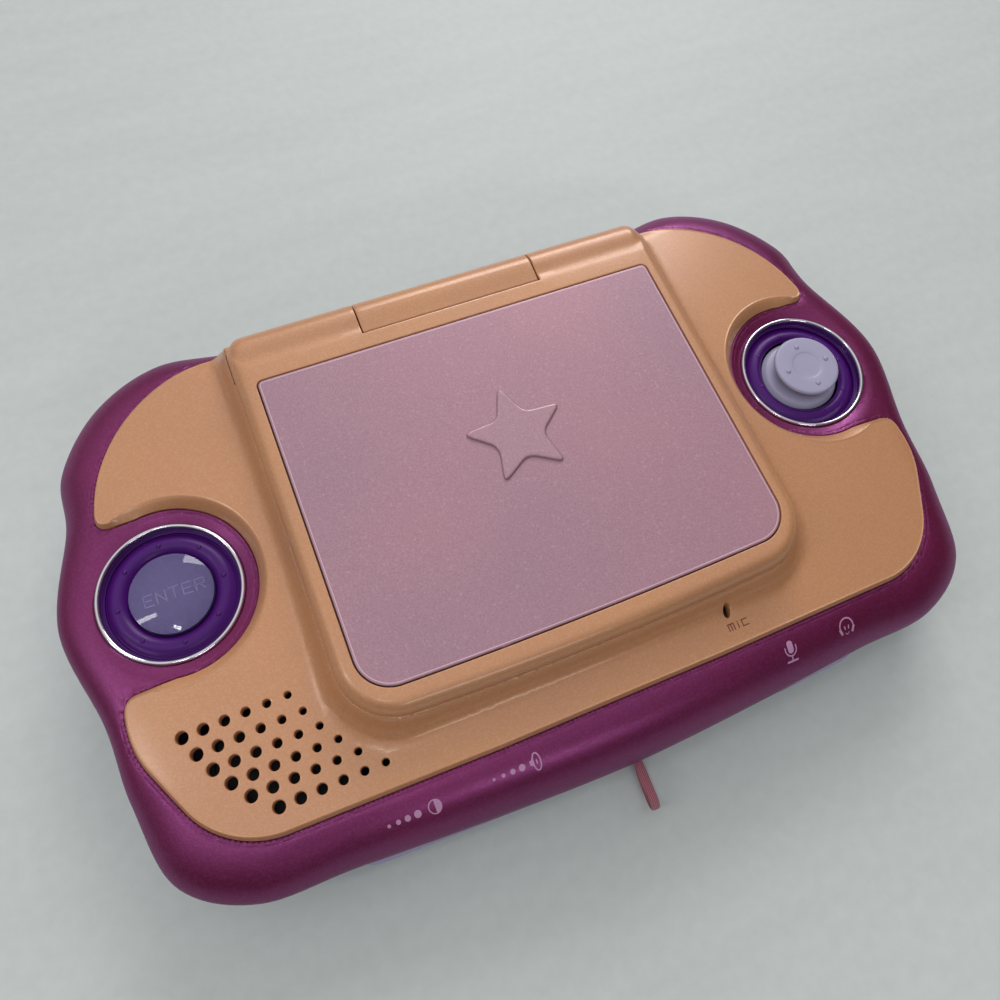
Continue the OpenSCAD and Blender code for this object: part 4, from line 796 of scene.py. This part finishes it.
def openHoles():
    # Round holes of the speaker grille in slanted rows, and one small oval for the microphone.
    holes = [arcPoints(x0 + k * grille["pitch"], ringY + y, grille["r"] - grille["step"] * k, 0, 360, 28)[:-1]
             for x0, y in grille["rows"] for k in range(grille["count"])]
    t = np.linspace(0, 2 * np.pi, 36, endpoint=False)
    oval = np.stack([micSlot["halfW"] * np.cos(t), micSlot["halfL"] * np.sin(t)], -1)
    c, s = math.cos(micSlot["tilt"]), math.sin(micSlot["tilt"])
    holes.append(oval @ np.array([[c, -s], [s, c]]) + [micSlot["x"], micSlot["y"]])
    return [anticlockwise(h) for h in holes]


def makeDeck():
    # A height over a flat net, with rounded brinks at its outline and holes and walls down from each;
    # the edge slopes steeply beside the pods and ends in a fine bead. The hinge trough is a round
    # groove carried along X with a flat behind it.
    holes = openHoles()
    well = anticlockwise(resample(lidLoop(-recess["inset"], recess["back"]), 0.9))
    w, y0, y1 = trough["half"], hinge["y"] - trough["r"], trough["backY"]
    behind = deckLoop[:, 1] > 55
    rest = deckLoop[~((np.abs(deckLoop[:, 0]) < w + 0.2) & behind)]
    rest = np.roll(rest, -int(np.argmin(np.where((rest[:, 1] > 55) & (rest[:, 0] < 0), -rest[:, 0], 1e9))), axis=0)
    sideY, alongX = np.linspace(y1, y0, 26)[:, None], np.linspace(w, -w, 120)
    plan = np.vstack([rest, standing(w, sideY), raised(alongX[1:-1, None], y0), standing(-w, sideY[::-1])])
    v, f = sheetMesh(plan, [well] + holes, 1.5, bands=deckShape["bands"], bandHoles=(0.1, 0.25, 0.5),
                     extraRows=[resample(lidLoop(k, hinge["r"]), 1.1) for k in recess["rows"]])

    def height(q):
        z, e = deckHeight(q)
        z = np.where(e < 0.1, recess["land"], z)
        d = loopDistance(q, deckLoop)
        nearPod = np.clip(1 - np.abs(podRadius(q) - deckShape["podR"] - d) / deckShape["podBlend"], 0, 1)
        width = deckShape["slope"] + nearPod * deckShape["podSlope"]
        t = np.clip(d / width, 0, 1.5)
        foot = shellHeight(q) + deckShape["foot"]
        z = np.where(t < 1.5, foot + (z - foot) * softMin(1.12 * t, np.ones(len(t)), 0.24), z)
        z = z + deckShape["bead"] * np.exp(-((d - width) / deckShape["beadW"]) ** 2)
        gap = np.hypot(np.maximum(np.abs(q[:, 0]) - w, 0), np.maximum(y0 - q[:, 1], 0))
        z = z - bevelDrop(gap, trough["round"]) - bevelDrop(loopDistance(q, well), recess["round"])
        for h in holes:
            near = np.hypot(*(q - h.mean(0)).T) < 3.0
            z[near] -= bevelDrop(loopDistance(q[near], h), grille["lip"])
        return z

    work = Patches()
    work.add(raised(v, height(v)), f)
    brim = np.where((np.abs(deckLoop[:, 0]) < w) & behind, trough["lowZ"] - deckShape["edge"], height(deckLoop))
    work.strip([raised(deckLoop, brim), raised(deckLoop, brim - deckShape["wall"])], True)
    for h in holes:
        work.strip([raised(h, height(h)), raised(h, height(h) - grille["deep"])])
    work.strip([raised(well, height(well)), raised(well, recess["floor"])])
    # groove: down from the land, round the barrel, out over the low flat, and down at the back edge
    low = math.degrees(math.asin((trough["lowZ"] - hinge["z"]) / trough["r"]))
    arc = arcPoints(hinge["y"], hinge["z"], trough["r"], 180, 360 + low, 40)
    flat = np.linspace(arc[-1, 0] + 0.3, y1, 14)
    section = np.vstack([[[y0, recess["land"] - trough["round"]]], arc,
                         np.stack([flat, trough["lowZ"] - bevelDrop(y1 - flat, deckShape["edge"])], -1)])
    work.strip([np.column_stack([alongX, np.full(120, y), np.full(120, z)]) for y, z in section], closed=False)
    for side in (-1, 1):
        edge = standing(side * w, sideY)
        work.cap(np.vstack([raised(edge, height(edge)), standing(side * w, section)]), side < 0)
    dress(work.build("deckSkin", "base", 34, 0.01), "peach", "peach_plastic", "deck_panel")


makeDeck()
print("deck ready")

coverShape = {"endRound": 0.35, "roof": [[-1.5, 6.02], [-3.5, 5.72], [-5.0, 5.5]], "lip": (-5.0, 4.6, 0.9, 90, 172),
              "face": [[-6.35, 3.6], [-6.9, 2.4], [-7.4, 1.36]],
              "foot": [[-6.1, 1.2], [-5.4, -0.5], [-4.6, -2.6], [-3.0, -5.3], [0.5, -6.15]]}


def makeHingeCover():
    # Carried along X: the barrel's round back, a flat roof running forward to a small rounded lip, a face
    # down to the lid's split line and the foot. Each end draws in by a small quarter round.
    section = np.vstack([arcPoints(0, 0, hinge["r"], -62, 62, 34), arcPoints(0, 0, hinge["r"], 62, 86, 10)[1:],
                         coverShape["roof"], arcPoints(*coverShape["lip"], 10), coverShape["face"],
                         coverShape["foot"]])
    inwards, r, half = loopNormals(section), coverShape["endRound"], hinge["half"]
    ends = [(half - r + r * math.sin(a), r * (1 - math.cos(a))) for a in np.linspace(0, math.pi / 2, 7)]
    middle = [(x, 0.0) for x in np.linspace(-half + 2, half - 2, 20)]
    rows = [standing(x, section + inwards * d + [hinge["y"], hinge["z"]])
            for x, d in [(-x, d) for x, d in ends[::-1]] + middle + ends]
    work = Patches()
    work.strip(rows)
    work.cap(rows[0], True)
    work.cap(rows[-1])
    dress(work.build("hingeCoverSkin", "base", 38), "peach", "peach_plastic", "hinge_cover")


makeHingeCover()
print("hinge cover ready")


panelShape = {"halfW": 56.6, "midY": 2.65, "depth": 86.6, "frontR": 9.0, "backR": 1.5, "bow": 0.8, "proud": 0.1,
              "groove": 0.28, "edge": 0.35, "floor": 48.15}
lidWaveShape = {"fall": 0.045, "from": 50.0, "blend": 1.5, "endR": 5.0}
lidBands = {"bands": (0.05, 0.15, 0.32, 0.6, 1.0, 1.5, 2.1, 2.8, 3.6, 4.5), "bandHoles": (0.1, 0.25, 0.5)}
nest = {"inset": 3.4, "back": -5.4, "low": 38.9, "wall": 2.0, "round": 0.5, "ceiling": 46.0}


def panelLoop(grow):
    # Straight sides, small back corners, larger front ones, and a slightly bowed front.
    w, rf, rb = panelShape["halfW"], panelShape["frontR"], panelShape["backR"]
    y0, y1 = panelShape["midY"] - panelShape["depth"] / 2, panelShape["midY"] + panelShape["depth"] / 2
    side = np.vstack([arcPoints(w - rf, y0 + rf, rf + grow, -90, 0, 18),
                      arcPoints(w - rb, y1 - rb, rb + grow, 0, 90, 8)])
    x = np.linspace(-(w - rf), w - rf, 34)[1:-1]
    front = np.stack([x, y0 - grow - panelShape["bow"] * (1 - (x / (w - rf)) ** 2)], -1)
    return anticlockwise(np.vstack([side, side[::-1] * [-1, 1], front]))


def knuckleDepth(q):
    # Half height of the barrel, whose outer end closes as an ellipsoid.
    end = lidWaveShape["endR"]
    past = np.maximum(np.abs(q[:, 0]) - lidShape["halfW"] + end, 0) * hinge["r"] / end
    return np.sqrt(np.maximum(hinge["r"] ** 2 - (q[:, 1] - hinge["y"]) ** 2 - past ** 2, 0))


def lidHeight(q, rim):
    # Flat face, a shallow dip, then the round of the barrel, joined by a soft maximum; rounded over
    # towards the sides and the front.
    face = lidShape["top"] - lidWaveShape["fall"] * np.maximum(q[:, 1] - lidWaveShape["from"], 0) ** 2
    wave = -softMin(-face, -(hinge["z"] + knuckleDepth(q)), lidWaveShape["blend"])
    return softMin(wave, lidShape["top"] + 0.2 - bevelDrop(loopDistance(q, rim), lidShape["round"] + 0.2), 0.25)


def makeLid():
    # Top sheet over a flat net, walls round it, then the parts beneath: a flat ring, the nest that
    # drops into the deck, and the lower halves of the two knuckles.
    half, cut, r = hinge["half"] + 0.3, hinge["apronR"] + 0.3, hinge["r"]
    yBack, split, flatZ = hinge["y"] + r, lidShape["split"], lidShape["top"]
    yJoin = hinge["y"] - math.sqrt(r * r - (split - hinge["z"]) ** 2)

    def notchY(z):
        return hinge["y"] - np.sqrt(cut ** 2 - (np.asarray(z) - hinge["z"]) ** 2)

    w, fr, front, re = lidShape["halfW"], lidShape["frontR"], lidShape["front"], lidWaveShape["endR"]
    rightY = np.concatenate([np.linspace(front + fr, yJoin - 0.01, 90)[1:], np.linspace(yJoin + 0.01, hinge["y"], 8)])
    turn = np.linspace(0, np.pi / 2, 20)[1:]
    corner = np.stack([w - re + re * np.cos(turn), hinge["y"] + r * np.sin(turn)], -1)
    frontX = np.linspace(-(w - fr), w - fr, 110)[1:-1]
    frontRow = np.stack([frontX, front - lidShape["bow"] * (1 - (frontX / (w - fr)) ** 2)], -1)
    halfSide = np.vstack([arcPoints(w - fr, front + fr, fr, -90, 0, 30), standing(w, rightY[:, None]), corner,
                          raised(np.linspace(w - re, half, 36)[1:, None], yBack)])
    rim = np.vstack([halfSide[::-1] * [-1, 1], frontRow, halfSide])       # back left, round the front, back right
    yTop = float(notchY(flatZ - 0.1))
    sideY, acrossX = np.linspace(yBack, yTop, 30)[1:, None], np.linspace(half, -half, 80)
    plan = np.vstack([rim, standing(half, sideY), raised(acrossX[1:-1, None], yTop), standing(-half, sideY[::-1])])
    hole = anticlockwise(resample(panelLoop(panelShape["groove"]), 0.8))
    v, f = sheetMesh(plan, [hole], 1.5, **lidBands)

    def height(q):
        z = np.where(q[:, 1] > yBack - 0.01, hinge["z"], lidHeight(q, rim))
        edge = np.hypot(np.maximum(np.abs(q[:, 0]) - half, 0), np.maximum(yTop - q[:, 1], 0))
        return z - bevelDrop(edge, 0.3) - bevelDrop(loopDistance(q, hole), 0.25)

    work = Patches()
    work.add(raised(v, height(v)), f)
    side = rim[rim[:, 1] < yBack - 0.005]
    under = np.where(side[:, 1] < yJoin, split, hinge["z"])
    work.strip([raised(side, height(side)), raised(side, under)], True, False)
    work.strip([raised(hole, height(hole)), raised(hole, panelShape["floor"])])
    # lower half of each knuckle and the flat faces beside the notch
    yLower = np.append(hinge["y"] + r * np.cos(np.linspace(0, math.pi, 44)), yJoin)
    endX = w - re + re * np.sqrt(np.clip(1 - np.maximum((yLower - hinge["y"]) / r, 0) ** 2, 0, 1))
    xs = half + (endX[:, None] - half) * np.linspace(0, 1, 30)
    zLow = (hinge["z"] - knuckleDepth(np.column_stack([xs.ravel(), np.repeat(yLower, 30)]))).reshape(-1, 30)
    zLow[-1] = split
    zs = np.linspace(split, flatZ - 0.4, 14)
    for s in (-1, 1):
        work.strip([np.column_stack([s * x, np.full(30, y), z]) for x, y, z in zip(xs, yLower, zLow)], s < 0, False)
        edge = standing(s * half, sideY)
        section = np.vstack([np.column_stack([notchY(zs[::-1]), zs[::-1]]),
                             np.column_stack([yLower, zLow[:, 0]])[::-1]])
        work.cap(np.vstack([raised(edge, height(edge)), standing(s * half, section)]), s < 0)
    work.strip([np.column_stack([acrossX, np.full(80, notchY(z)), np.full(80, z)])
                for z in np.append(zs, flatZ - 0.3)], True, False)
    # flat ring under the rim, then the nest's walls and its floor's edge
    yLow = float(notchY(split))
    ringLoop = np.vstack([side[side[:, 1] < yJoin], [[w, yJoin], [half, yJoin], [half, yLow], [-half, yLow],
                                                     [-half, yJoin], [-w, yJoin]]])
    nestLoop = anticlockwise(resample(lidLoop(-nest["inset"], nest["back"]), 1.2))
    v, f = sheetMesh(anticlockwise(ringLoop), [nestLoop], 4.0)
    work.add(raised(v, split), f, True)
    inwards, rn, inner = loopNormals(nestLoop), nest["round"], nestLoop + loopNormals(nestLoop) * nest["wall"]
    rows = [raised(nestLoop + inwards * rn * (1 - math.cos(u)), nest["low"] + rn - rn * math.sin(u))
            for u in np.linspace(0, math.pi / 2, 6)]
    work.strip([raised(nestLoop, split)] + rows + [raised(inner, nest["low"]), raised(inner, nest["ceiling"])])
    dress(work.build("lidSkin", "lid", 34, 0.01), "peach", "peach_plastic", "lid_shell")


makeLid()
print("lid ready")

starShape = {"at": (1.5, 8.55), "r": 14.9, "inner": 6.6, "points": 5, "tipSoft": 3.0, "innerSoft": 2.4,
             "tall": 0.75, "round": 0.6}


def starLoop():
    # Straight-sided star; a short curve from side to side rounds each of its outer and inner corners.
    n, t = 2 * starShape["points"], np.linspace(0, 1, 9)[:, None]
    k = np.arange(n)
    a, away = math.pi * (0.5 + 2 * k / n), np.where(k % 2, starShape["inner"], starShape["r"])
    p, out = np.stack([away * np.cos(a), away * np.sin(a)], -1), []
    for k in range(n):
        c, soft = p[k], starShape["innerSoft" if k % 2 else "tipSoft"]
        a, b = (c + (q - c) / np.linalg.norm(q - c) * soft for q in (p[k - 1], p[(k + 1) % n]))
        out.append((1 - t) ** 2 * a + 2 * t * (1 - t) * c + t ** 2 * b)
    return anticlockwise(np.vstack(out)) + starShape["at"]


def makePanel():
    # Clear cover: a flat sheet with a narrow rounded edge standing just proud of the lid, and on it the
    # raised star, made the same way.
    top = lidShape["top"] + panelShape["proud"]
    star = starLoop()
    fineStar = resample(star, 0.35)
    cover = resample(panelLoop(0.0), 0.7)
    for name, loop, brink, grid, bands, up, edge, wall, look, *replaced in (
            ("coverPanel", cover, cover, 3.0, (0.05, 0.15, 0.3, 0.6), top, panelShape["edge"],
             (top - panelShape["edge"], panelShape["floor"] + 0.02), "panel", "lid_panel"),
            ("panelStar", fineStar, star, 0.8, (0.06, 0.15, 0.3, 0.5, 0.8), top + starShape["tall"],
             starShape["round"], (top + 0.15, top - 0.02), "star")):
        work = Patches()
        v, f = sheetMesh(loop, [], grid, bands)
        work.add(raised(v, up - bevelDrop(loopDistance(v, brink), edge)), f)
        work.strip([raised(anticlockwise(loop), z) for z in wall], True)
        dress(work.build(name, "lid", 40, 0.005), look, "panel_plastic", *replaced)


makePanel()
print("panel ready")

ringShape = {"r": 18.5, "half": 0.62, "tall": 0.72, "foot": -1.85}
collarShape = {"r": 16.65, "crestR": 13.35, "edge": 0.4, "sill": -1.93, "bumpR": 0.66, "bumps": 8}
collars = {                                  # inside fall, low edge and hollow differ, as one holds the button
    "left": {"crest": -0.4, "inner": 10.75, "fall": 1.7, "low": -3.6, "hollow": 0.01, "bump": 0.45},
    "right": {"crest": -0.9, "inner": 11.85, "fall": 1.0, "low": -6.7, "hollow": 2.2, "bump": 0.3}}


def makeRings():
    # A slim rounded crown on a tube, carried round each control's axis.
    r, half, foot = ringShape["r"], ringShape["half"], ringShape["foot"]
    a = np.linspace(0, np.pi, 25)
    crown = np.column_stack([r - half + half * np.cos(a), ringShape["tall"] * np.sin(a)])
    section = np.vstack([[[r, foot]], crown, [[r - 2 * half - 0.12, foot]]])
    for side, name in ((-1, "left"), (1, "right")):
        dress(lathe(name + "ChromeRing", section, (side * ringX, ringY, ringZ), "base", 192),
              "chrome", "chrome_trim", name + "_ring")


def bumpCircle(centre, away, count, r, tall, sides=20, rows=7, crown=0.2):
    # Half ellipsoids spaced evenly round a circle, each closed by a small flat crown.
    work, a = Patches(), np.linspace(0, 2 * np.pi, sides, endpoint=False)
    for k in range(count):
        t = math.radians(360 / count * k)
        c = np.array(centre) + [away * math.cos(t), away * math.sin(t), 0]
        work.strip([c + np.column_stack([r * math.sin(u) * np.cos(a), r * math.sin(u) * np.sin(a),
                                         np.full(sides, tall * math.cos(u))])
                    for u in np.linspace(np.pi / 2, crown, rows)])
        work.faces.append(list(range(work.count - sides, work.count)))
    return work


def makeCollars():
    # Each collar is carried round: parabolas either side of a soft crest, a rounded outer edge and a
    # wall down to the sill. Small bumps sit on its crest.
    r0, out, edge, sill = collarShape["crestR"], collarShape["r"], collarShape["edge"], collarShape["sill"]
    for side, name in ((-1, "left"), (1, "right")):
        crest, inner, fall, low, hollow, bump = (collars[name][k] for k in (
            "crest", "inner", "fall", "low", "hollow", "bump"))
        inside, outside = np.linspace(inner, r0, 14), np.linspace(r0, out - edge, 16)[1:]
        section = np.vstack([
            [[inner + hollow, low], [inner + hollow, crest - fall - 0.3], [inner, crest - fall - 0.45]],
            np.column_stack([inside, crest - fall * ((r0 - inside) / (r0 - inner)) ** 2]),
            np.column_stack([outside, crest - 1.7 * ((outside - r0) / (out - edge - r0)) ** 2]),
            arcPoints(out - edge, crest - 2.1, edge, 75, 0, 6), [[out, sill], [ringShape["r"] - 0.1, sill]]])
        dress(lathe(name + "Collar", section[::-1], (side * ringX, ringY, ringZ), "base", 192, 50),
              "violet", "violet_plastic", name + "_dish")
        work = bumpCircle((side * ringX, ringY, ringZ + crest - 0.12), r0, collarShape["bumps"],
                          collarShape["bumpR"], bump)
        dress(work.build(name + "CollarBumps", "base", 60), "violet", "violet_plastic")


enterShape = {"disc": [[10.5, -1.6], [10.5, -0.75], [10.42, -0.62], [10.2, -0.56], [0.0, -0.56]],
              "domeR": 10.45, "domeTall": 1.9, "domeZ": -0.52}


def makeEnter():
    # A low metallic disc seen through a clear dome, which is a shallow cap of a ball.
    at = (-ringX, ringY, ringZ)
    dress(lathe("enterDisc", enterShape["disc"], at, "enter"), "button", "button_plastic")
    h, r, z0 = enterShape["domeTall"], enterShape["domeR"], enterShape["domeZ"]
    ball = (r * r + h * h) / (2 * h)
    top = math.asin(r / ball)
    a = np.linspace(top, 0, 36)
    dome = np.column_stack([ball * np.sin(a), ball * (np.cos(a) - math.cos(top)) + z0])
    dress(lathe("enterDome", np.vstack([[[0.0, z0 - 0.01], [r, z0 - 0.01]], dome]), at, "enter"),
          "lens", "clear_lens", "enter_lens")


stickShape = {"capR": 9.6, "edgeR": 0.78, "capZ": 2.98, "pivotZ": -10.5, "skirtBall": 13.75, "skirtR": 11.3,
              "skirtTop": 10.4, "stemR": 3.9, "dotsAt": 6.4, "dots": 4, "dotR": 0.78, "dotTall": 0.55,
              "dish": [[7.9, 0.02], [6.0, 0.0], [4.5, -0.03], [4.3, -0.08], [4.15, -0.17], [3.9, -0.2],
                       [2.5, -0.22], [0.0, -0.24]]}


def makeStick():
    # A thin round-edged cap with a shallow ring sunk in its top, over a skirt whose edge is a
    # ball about the pivot, so that it tilts inside the collar without touching.
    at = (ringX, ringY, ringZ)
    r, e, z0, ball, pivot, stem = (stickShape[k] for k in ("capR", "edgeR", "capZ", "skirtBall", "pivotZ", "stemR"))
    a = np.radians(np.linspace(-88, 86, 22))
    cap = np.vstack([[[0.0, z0 - e]], np.column_stack([r - e + e * np.cos(a), z0 + e * np.sin(a)]),
                     np.array(stickShape["dish"]) + [0, z0 + e]])
    a = np.linspace(math.asin(stickShape["skirtR"] / ball), math.asin(stickShape["skirtTop"] / ball), 12)
    skirt = np.vstack([[[10.2, -3.6], [10.9, -3.3]], np.column_stack([ball * np.sin(a), pivot + ball * np.cos(a)]),
                       [[9.6, -1.2], [8.2, -1.0], [6.0, -0.9], [stem, -0.86]]])
    dress(lathe("stickCap", cap, at, "stick", 160, 50), "stick", "lilac_plastic", "stick_cap")
    dress(lathe("stickSkirt", skirt, at, "stick"), "stick", "lilac_plastic", "stick_skirt")
    dress(lathe("stickStem", [[stem, -1.2], [stem, z0 - e + 0.1]], at, "stick", 96), "stick", "lilac_plastic")
    dots = bumpCircle((ringX, ringY, ringZ + z0 + e - 0.08), stickShape["dotsAt"], stickShape["dots"],
                      stickShape["dotR"], stickShape["dotTall"], 24, 8, 0.15)
    dress(dots.build("stickDots", "stick", 60), "stick", "lilac_plastic")


makeRings()
makeCollars()
makeEnter()
makeStick()
print("controls ready")


def ribbon(path, half, closed=False):
    # A band along a path: each point is spread both ways along its normal by its half width.
    p = np.asarray(path, float)
    d = np.roll(p, -1, 0) - np.roll(p, 1, 0) if closed else np.gradient(p, axis=0)
    side = np.stack([-d[:, 1], d[:, 0]], -1) / np.maximum(np.linalg.norm(d, axis=1), 1e-9)[:, None]
    h = np.broadcast_to(half, (len(p),))[:, None, None]
    return p[:, None] + side[:, None] * h * np.linspace(-1, 1, 3)[None, :, None], closed


def disc(x, y, r, part=1.0):
    # Chords across a circle; part of it when part is under 1.
    a = np.linspace(math.pi * part, 0, 17)
    return ribbon(np.column_stack([x + r * np.cos(a), np.full(17, y)]), r * np.sin(a))


def stroke(points, half=0.16):
    # A straight band, lengthened by its half width so that strokes meet at corners.
    p = np.asarray(points, float)
    d = (p[1] - p[0]) / np.linalg.norm(p[1] - p[0]) * half
    return ribbon(np.linspace(p[0] - d, p[1] + d, 5), half)


def printOn(name, bands, at, height, look, slot, body, lift=0.05):
    # Bands of ink laid over a surface: every point takes the surface's height there, a little proud.
    work = Patches()
    for grid, closed in bands:
        q = grid.reshape(-1, 2) + at
        work.add(raised(q, height(q) + lift), gridFaces(len(grid) + closed, 3, False) % len(q), True)
    dress(work.build(name, body, 60, 0.001), look, slot)


letters = {
    "E": [[[0, 0], [0, 1]], [[0, 1], [1, 1]], [[0, 0.5], [0.85, 0.5]], [[0, 0], [1, 0]]],
    "N": [[[0, 0], [0, 1]], [[0, 1], [1, 0]], [[1, 0], [1, 1]]],
    "T": [[[0, 1], [1, 1]], [[0.5, 0], [0.5, 1]]],
    "R": [[[0, 0], [0, 1]], [[0, 1], [1, 1]], [[1, 1], [1, 0.5]], [[1, 0.5], [0, 0.5]], [[0.5, 0.5], [1, 0]]],
    "M": [[[0, 0], [0, 1]], [[0, 1], [1, 1]], [[0.5, 0], [0.5, 1]], [[1, 0], [1, 1]]],
    "I": [[[0.5, 0], [0.5, 0.68]], [[0.5, 0.96], [0.5, 1]]],
    "C": [[[0, 0], [0, 1]], [[0, 1], [1, 1]], [[0, 0], [1, 0]]],
}


def wordBands(word, size, pitch, half):
    # Each letter's strokes, scaled to size and set a pitch apart, centred on the word.
    start = -(pitch * (len(word) - 1) + size[0]) / 2
    return [stroke(np.array(q) * size + [start + pitch * k, -size[1] / 2], half)
            for k, letter in enumerate(word) for q in letters[letter]]


marks = {
    "contrastAt": (0, ringY - 72.6), "volumeAt": (0, ringY - 72.35), "micAt": (48.0, ringY - 71.6),
    "phonesAt": (66.0, ringY - 71.9), "micWordAt": (36.6, -56.1), "enterWordAt": (-ringX + 0.8, ringY - 0.2),
    "contrastDots": [(-61.6, 0.42), (-59.3, 0.58), (-57.0, 0.73), (-54.5, 0.88)],
    "volumeDots": [(-35.2, 0.37), (-32.8, 0.50), (-30.4, 0.65), (-28.0, 0.82)], "edgeInset": 0.62}


def makeMarks():
    # Contrast, volume, microphone and headphone symbols printed on the front edge, two words, and a pale line
    # painted just inside the cover's edge: a painted highlight of its rounded edge.
    def arc(r, ry, a0, a1, n):
        a = np.radians(np.linspace(a0, a1, n))
        return np.column_stack([r * np.cos(a), ry * np.sin(a)])

    contrast = [disc(x, 0, r) for x, r in marks["contrastDots"]] + [
        disc(-50.2, 0, 1.5, 0.5), ribbon(arcPoints(-50.2, 0, 1.55, 0, 360, 40)[:-1], 0.14, True)]
    volume = [disc(x, 0, r) for x, r in marks["volumeDots"]] + [
        ribbon(arc(0.95, 2.0, 0, 360, 41)[:-1] + [-24.2, 0], 0.17, True),
        ribbon([[-26.0, 0.1], [-25.6, 0.1], [-25.3, 0.1], [-24.9, 0.1]], [0.5, 0.6, 0.8, 1.5]),
        stroke([[-24.2, 0.35], [-24.2, -0.35]])]
    capsule = np.linspace(-1.6, 1.6, 21)
    cup = np.clip(np.abs(capsule) - 0.75, 0, 0.85)
    mic = [ribbon(np.column_stack([np.zeros(21), capsule + 0.5]), np.sqrt(np.maximum(0.85 ** 2 - cup ** 2, 0))),
           ribbon(np.vstack([[[-1.65, 0.7]], arc(1.65, 1.65, 180, 360, 19), [[1.65, 0.7]]]), 0.17),
           stroke([[0, -1.7], [0, -2.7]], 0.2), stroke([[-1.5, -2.9], [1.5, -2.9]], 0.24)]
    phones = [ribbon(arc(2.15, 2.15, 200, -20, 25), 0.2),
              stroke([[-2.15, -0.5], [-1.75, -1.3]], 0.36), stroke([[2.15, -0.5], [1.75, -1.3]], 0.36),
              stroke([[-0.65, 0.1], [-0.55, -0.45]], 0.18), stroke([[0.65, 0.1], [0.55, -0.45]], 0.18),
              ribbon(arc(0.5, 0.5, 180, 360, 19) + [0, -1.3], 0.1)]
    for name, bands, at in (("contrastMarks", contrast, "contrastAt"), ("volumeMarks", volume, "volumeAt"),
                            ("micMark", mic, "micAt"), ("phonesMark", phones, "phonesAt")):
        printOn(name, bands, marks[at], domeHeight, "ink", "magenta_plastic", "base")
    printOn("micWord", wordBands("MIC", (1.55, 1.6), 2.0, 0.15), marks["micWordAt"], lambda q: deckHeight(q)[0],
            "brownInk", "peach_plastic", "base", 0.03)
    printOn("enterWord", wordBands("ENTER", (2.2, 2.9), 3.2, 0.17), marks["enterWordAt"],
            lambda q: ringZ + enterShape["disc"][-1][1], "paleInk", "button_plastic", "enter", 0.02)
    # A pale line painted just inside the cover's edge: a painted highlight, drawn as a thin ribbon.
    printOn("panelEdgeHighlight", [ribbon(resample(panelLoop(-marks["edgeInset"]), 0.8), 0.12, True)], (0, 0),
            lambda q: lidShape["top"] + panelShape["proud"], "edgeHighlightPaint", "panel_plastic", "lid", 0.012)


makeMarks()
print("marks ready")


def makeFloor():
    # Pale grey table with faint long streaks and a fine leather-like grain.
    m, t, co = newMaterial("paleTable")
    grain = addNode(t, "TexNoise", {"Vector": co, "Scale": 260.0, "Detail": 5.0})
    turned = addNode(t, "Mapping", {"Vector": co, "Scale": (14.0, 90.0, 1.0), "Rotation": (0, 0, 0.9)})
    streak = addNode(t, "TexNoise", {"Vector": turned.outputs[0], "Scale": 1.0, "Detail": 3.0})
    part = addNode(t, "Math", {0: grain.outputs["Fac"], 1: 0.6}, operation="MULTIPLY")
    total = addNode(t, "Math", {0: streak.outputs["Fac"], 1: 0.5, 2: part.outputs[0]}, operation="MULTIPLY_ADD")
    tone = addNode(t, "ValToRGB", {"Fac": total.outputs[0]}, [(0.35, srgb("#BCC2C0")), (0.75, srgb("#C4CAC8"))])
    bump = addNode(t, "Bump", {"Strength": 0.25, "Distance": 0.0004, "Height": total.outputs[0]})
    finishMaterial(m, {"Base Color": tone.outputs["Color"], "Roughness": 0.55, "Normal": bump.outputs["Normal"]})
    mesh = bpy.data.meshes.new("tableTop")
    mesh.from_pydata([(-1.5, -1.5, 0), (1.5, -1.5, 0), (1.5, 1.5, 0), (-1.5, 1.5, 0)], [], [(0, 1, 2, 3)])
    mesh.materials.append(m)
    floor = bpy.data.objects.new("tableTop", mesh)
    bpy.context.scene.collection.objects.link(floor)


roomLight = {"low": 0.03, "high": 1.0, "from": 0.30, "tilt": (-0.20, 0.26, 0.94), "aim": (0, 0, 0.02)}
lamps = [                                                   # place, size in metres, watts
    ("windowLamp", (1.5, 2.9, 2.1), (2.2, 1.6), 74.0),
    ("leftLamp", (-1.35, 0.12, 1.50), (0.14, 0.8), 3.5),
    ("frontLamp", (-0.56, -0.60, 1.84), (0.26, 0.10), 1.6),
    ("roomLamp", (0.1, -1.9, 1.35), (0.9, 0.22), 5.5)]


def makeLight():
    # The room is a plain white that fades from above and behind towards the front; lamps add to it.
    world = bpy.data.worlds.new("softRoom")
    world.use_nodes = True
    t = world.node_tree
    t.nodes.clear()
    way = addNode(t, "TexCoord").outputs["Generated"]
    along = addNode(t, "VectorMath", {0: way, 1: roomLight["tilt"]}, operation="DOT_PRODUCT")
    level = addNode(t, "MapRange", {"Value": along.outputs["Value"], "From Min": roomLight["from"], "From Max": 1.0,
                                    "To Min": roomLight["low"], "To Max": roomLight["high"]})
    glow = addNode(t, "Background", {"Color": white, "Strength": level.outputs[0]})
    addNode(t, "OutputWorld", {"Surface": glow.outputs[0]})
    bpy.context.scene.world = world
    for name, at, size, power in lamps:
        data = bpy.data.lights.new(name, "AREA")
        data.shape = "RECTANGLE"
        data.size, data.size_y = size
        data.energy = power
        lamp = bpy.data.objects.new(name, data)
        lamp.location = at
        lamp.rotation_euler = (Vector(roomLight["aim"]) - Vector(at)).to_track_quat("-Z", "Y").to_euler()
        bpy.context.scene.collection.objects.link(lamp)


makeFloor()
makeLight()
bpy.context.scene.view_settings.view_transform = "Standard"
print("stage ready")

bpy.context.view_layer.update()
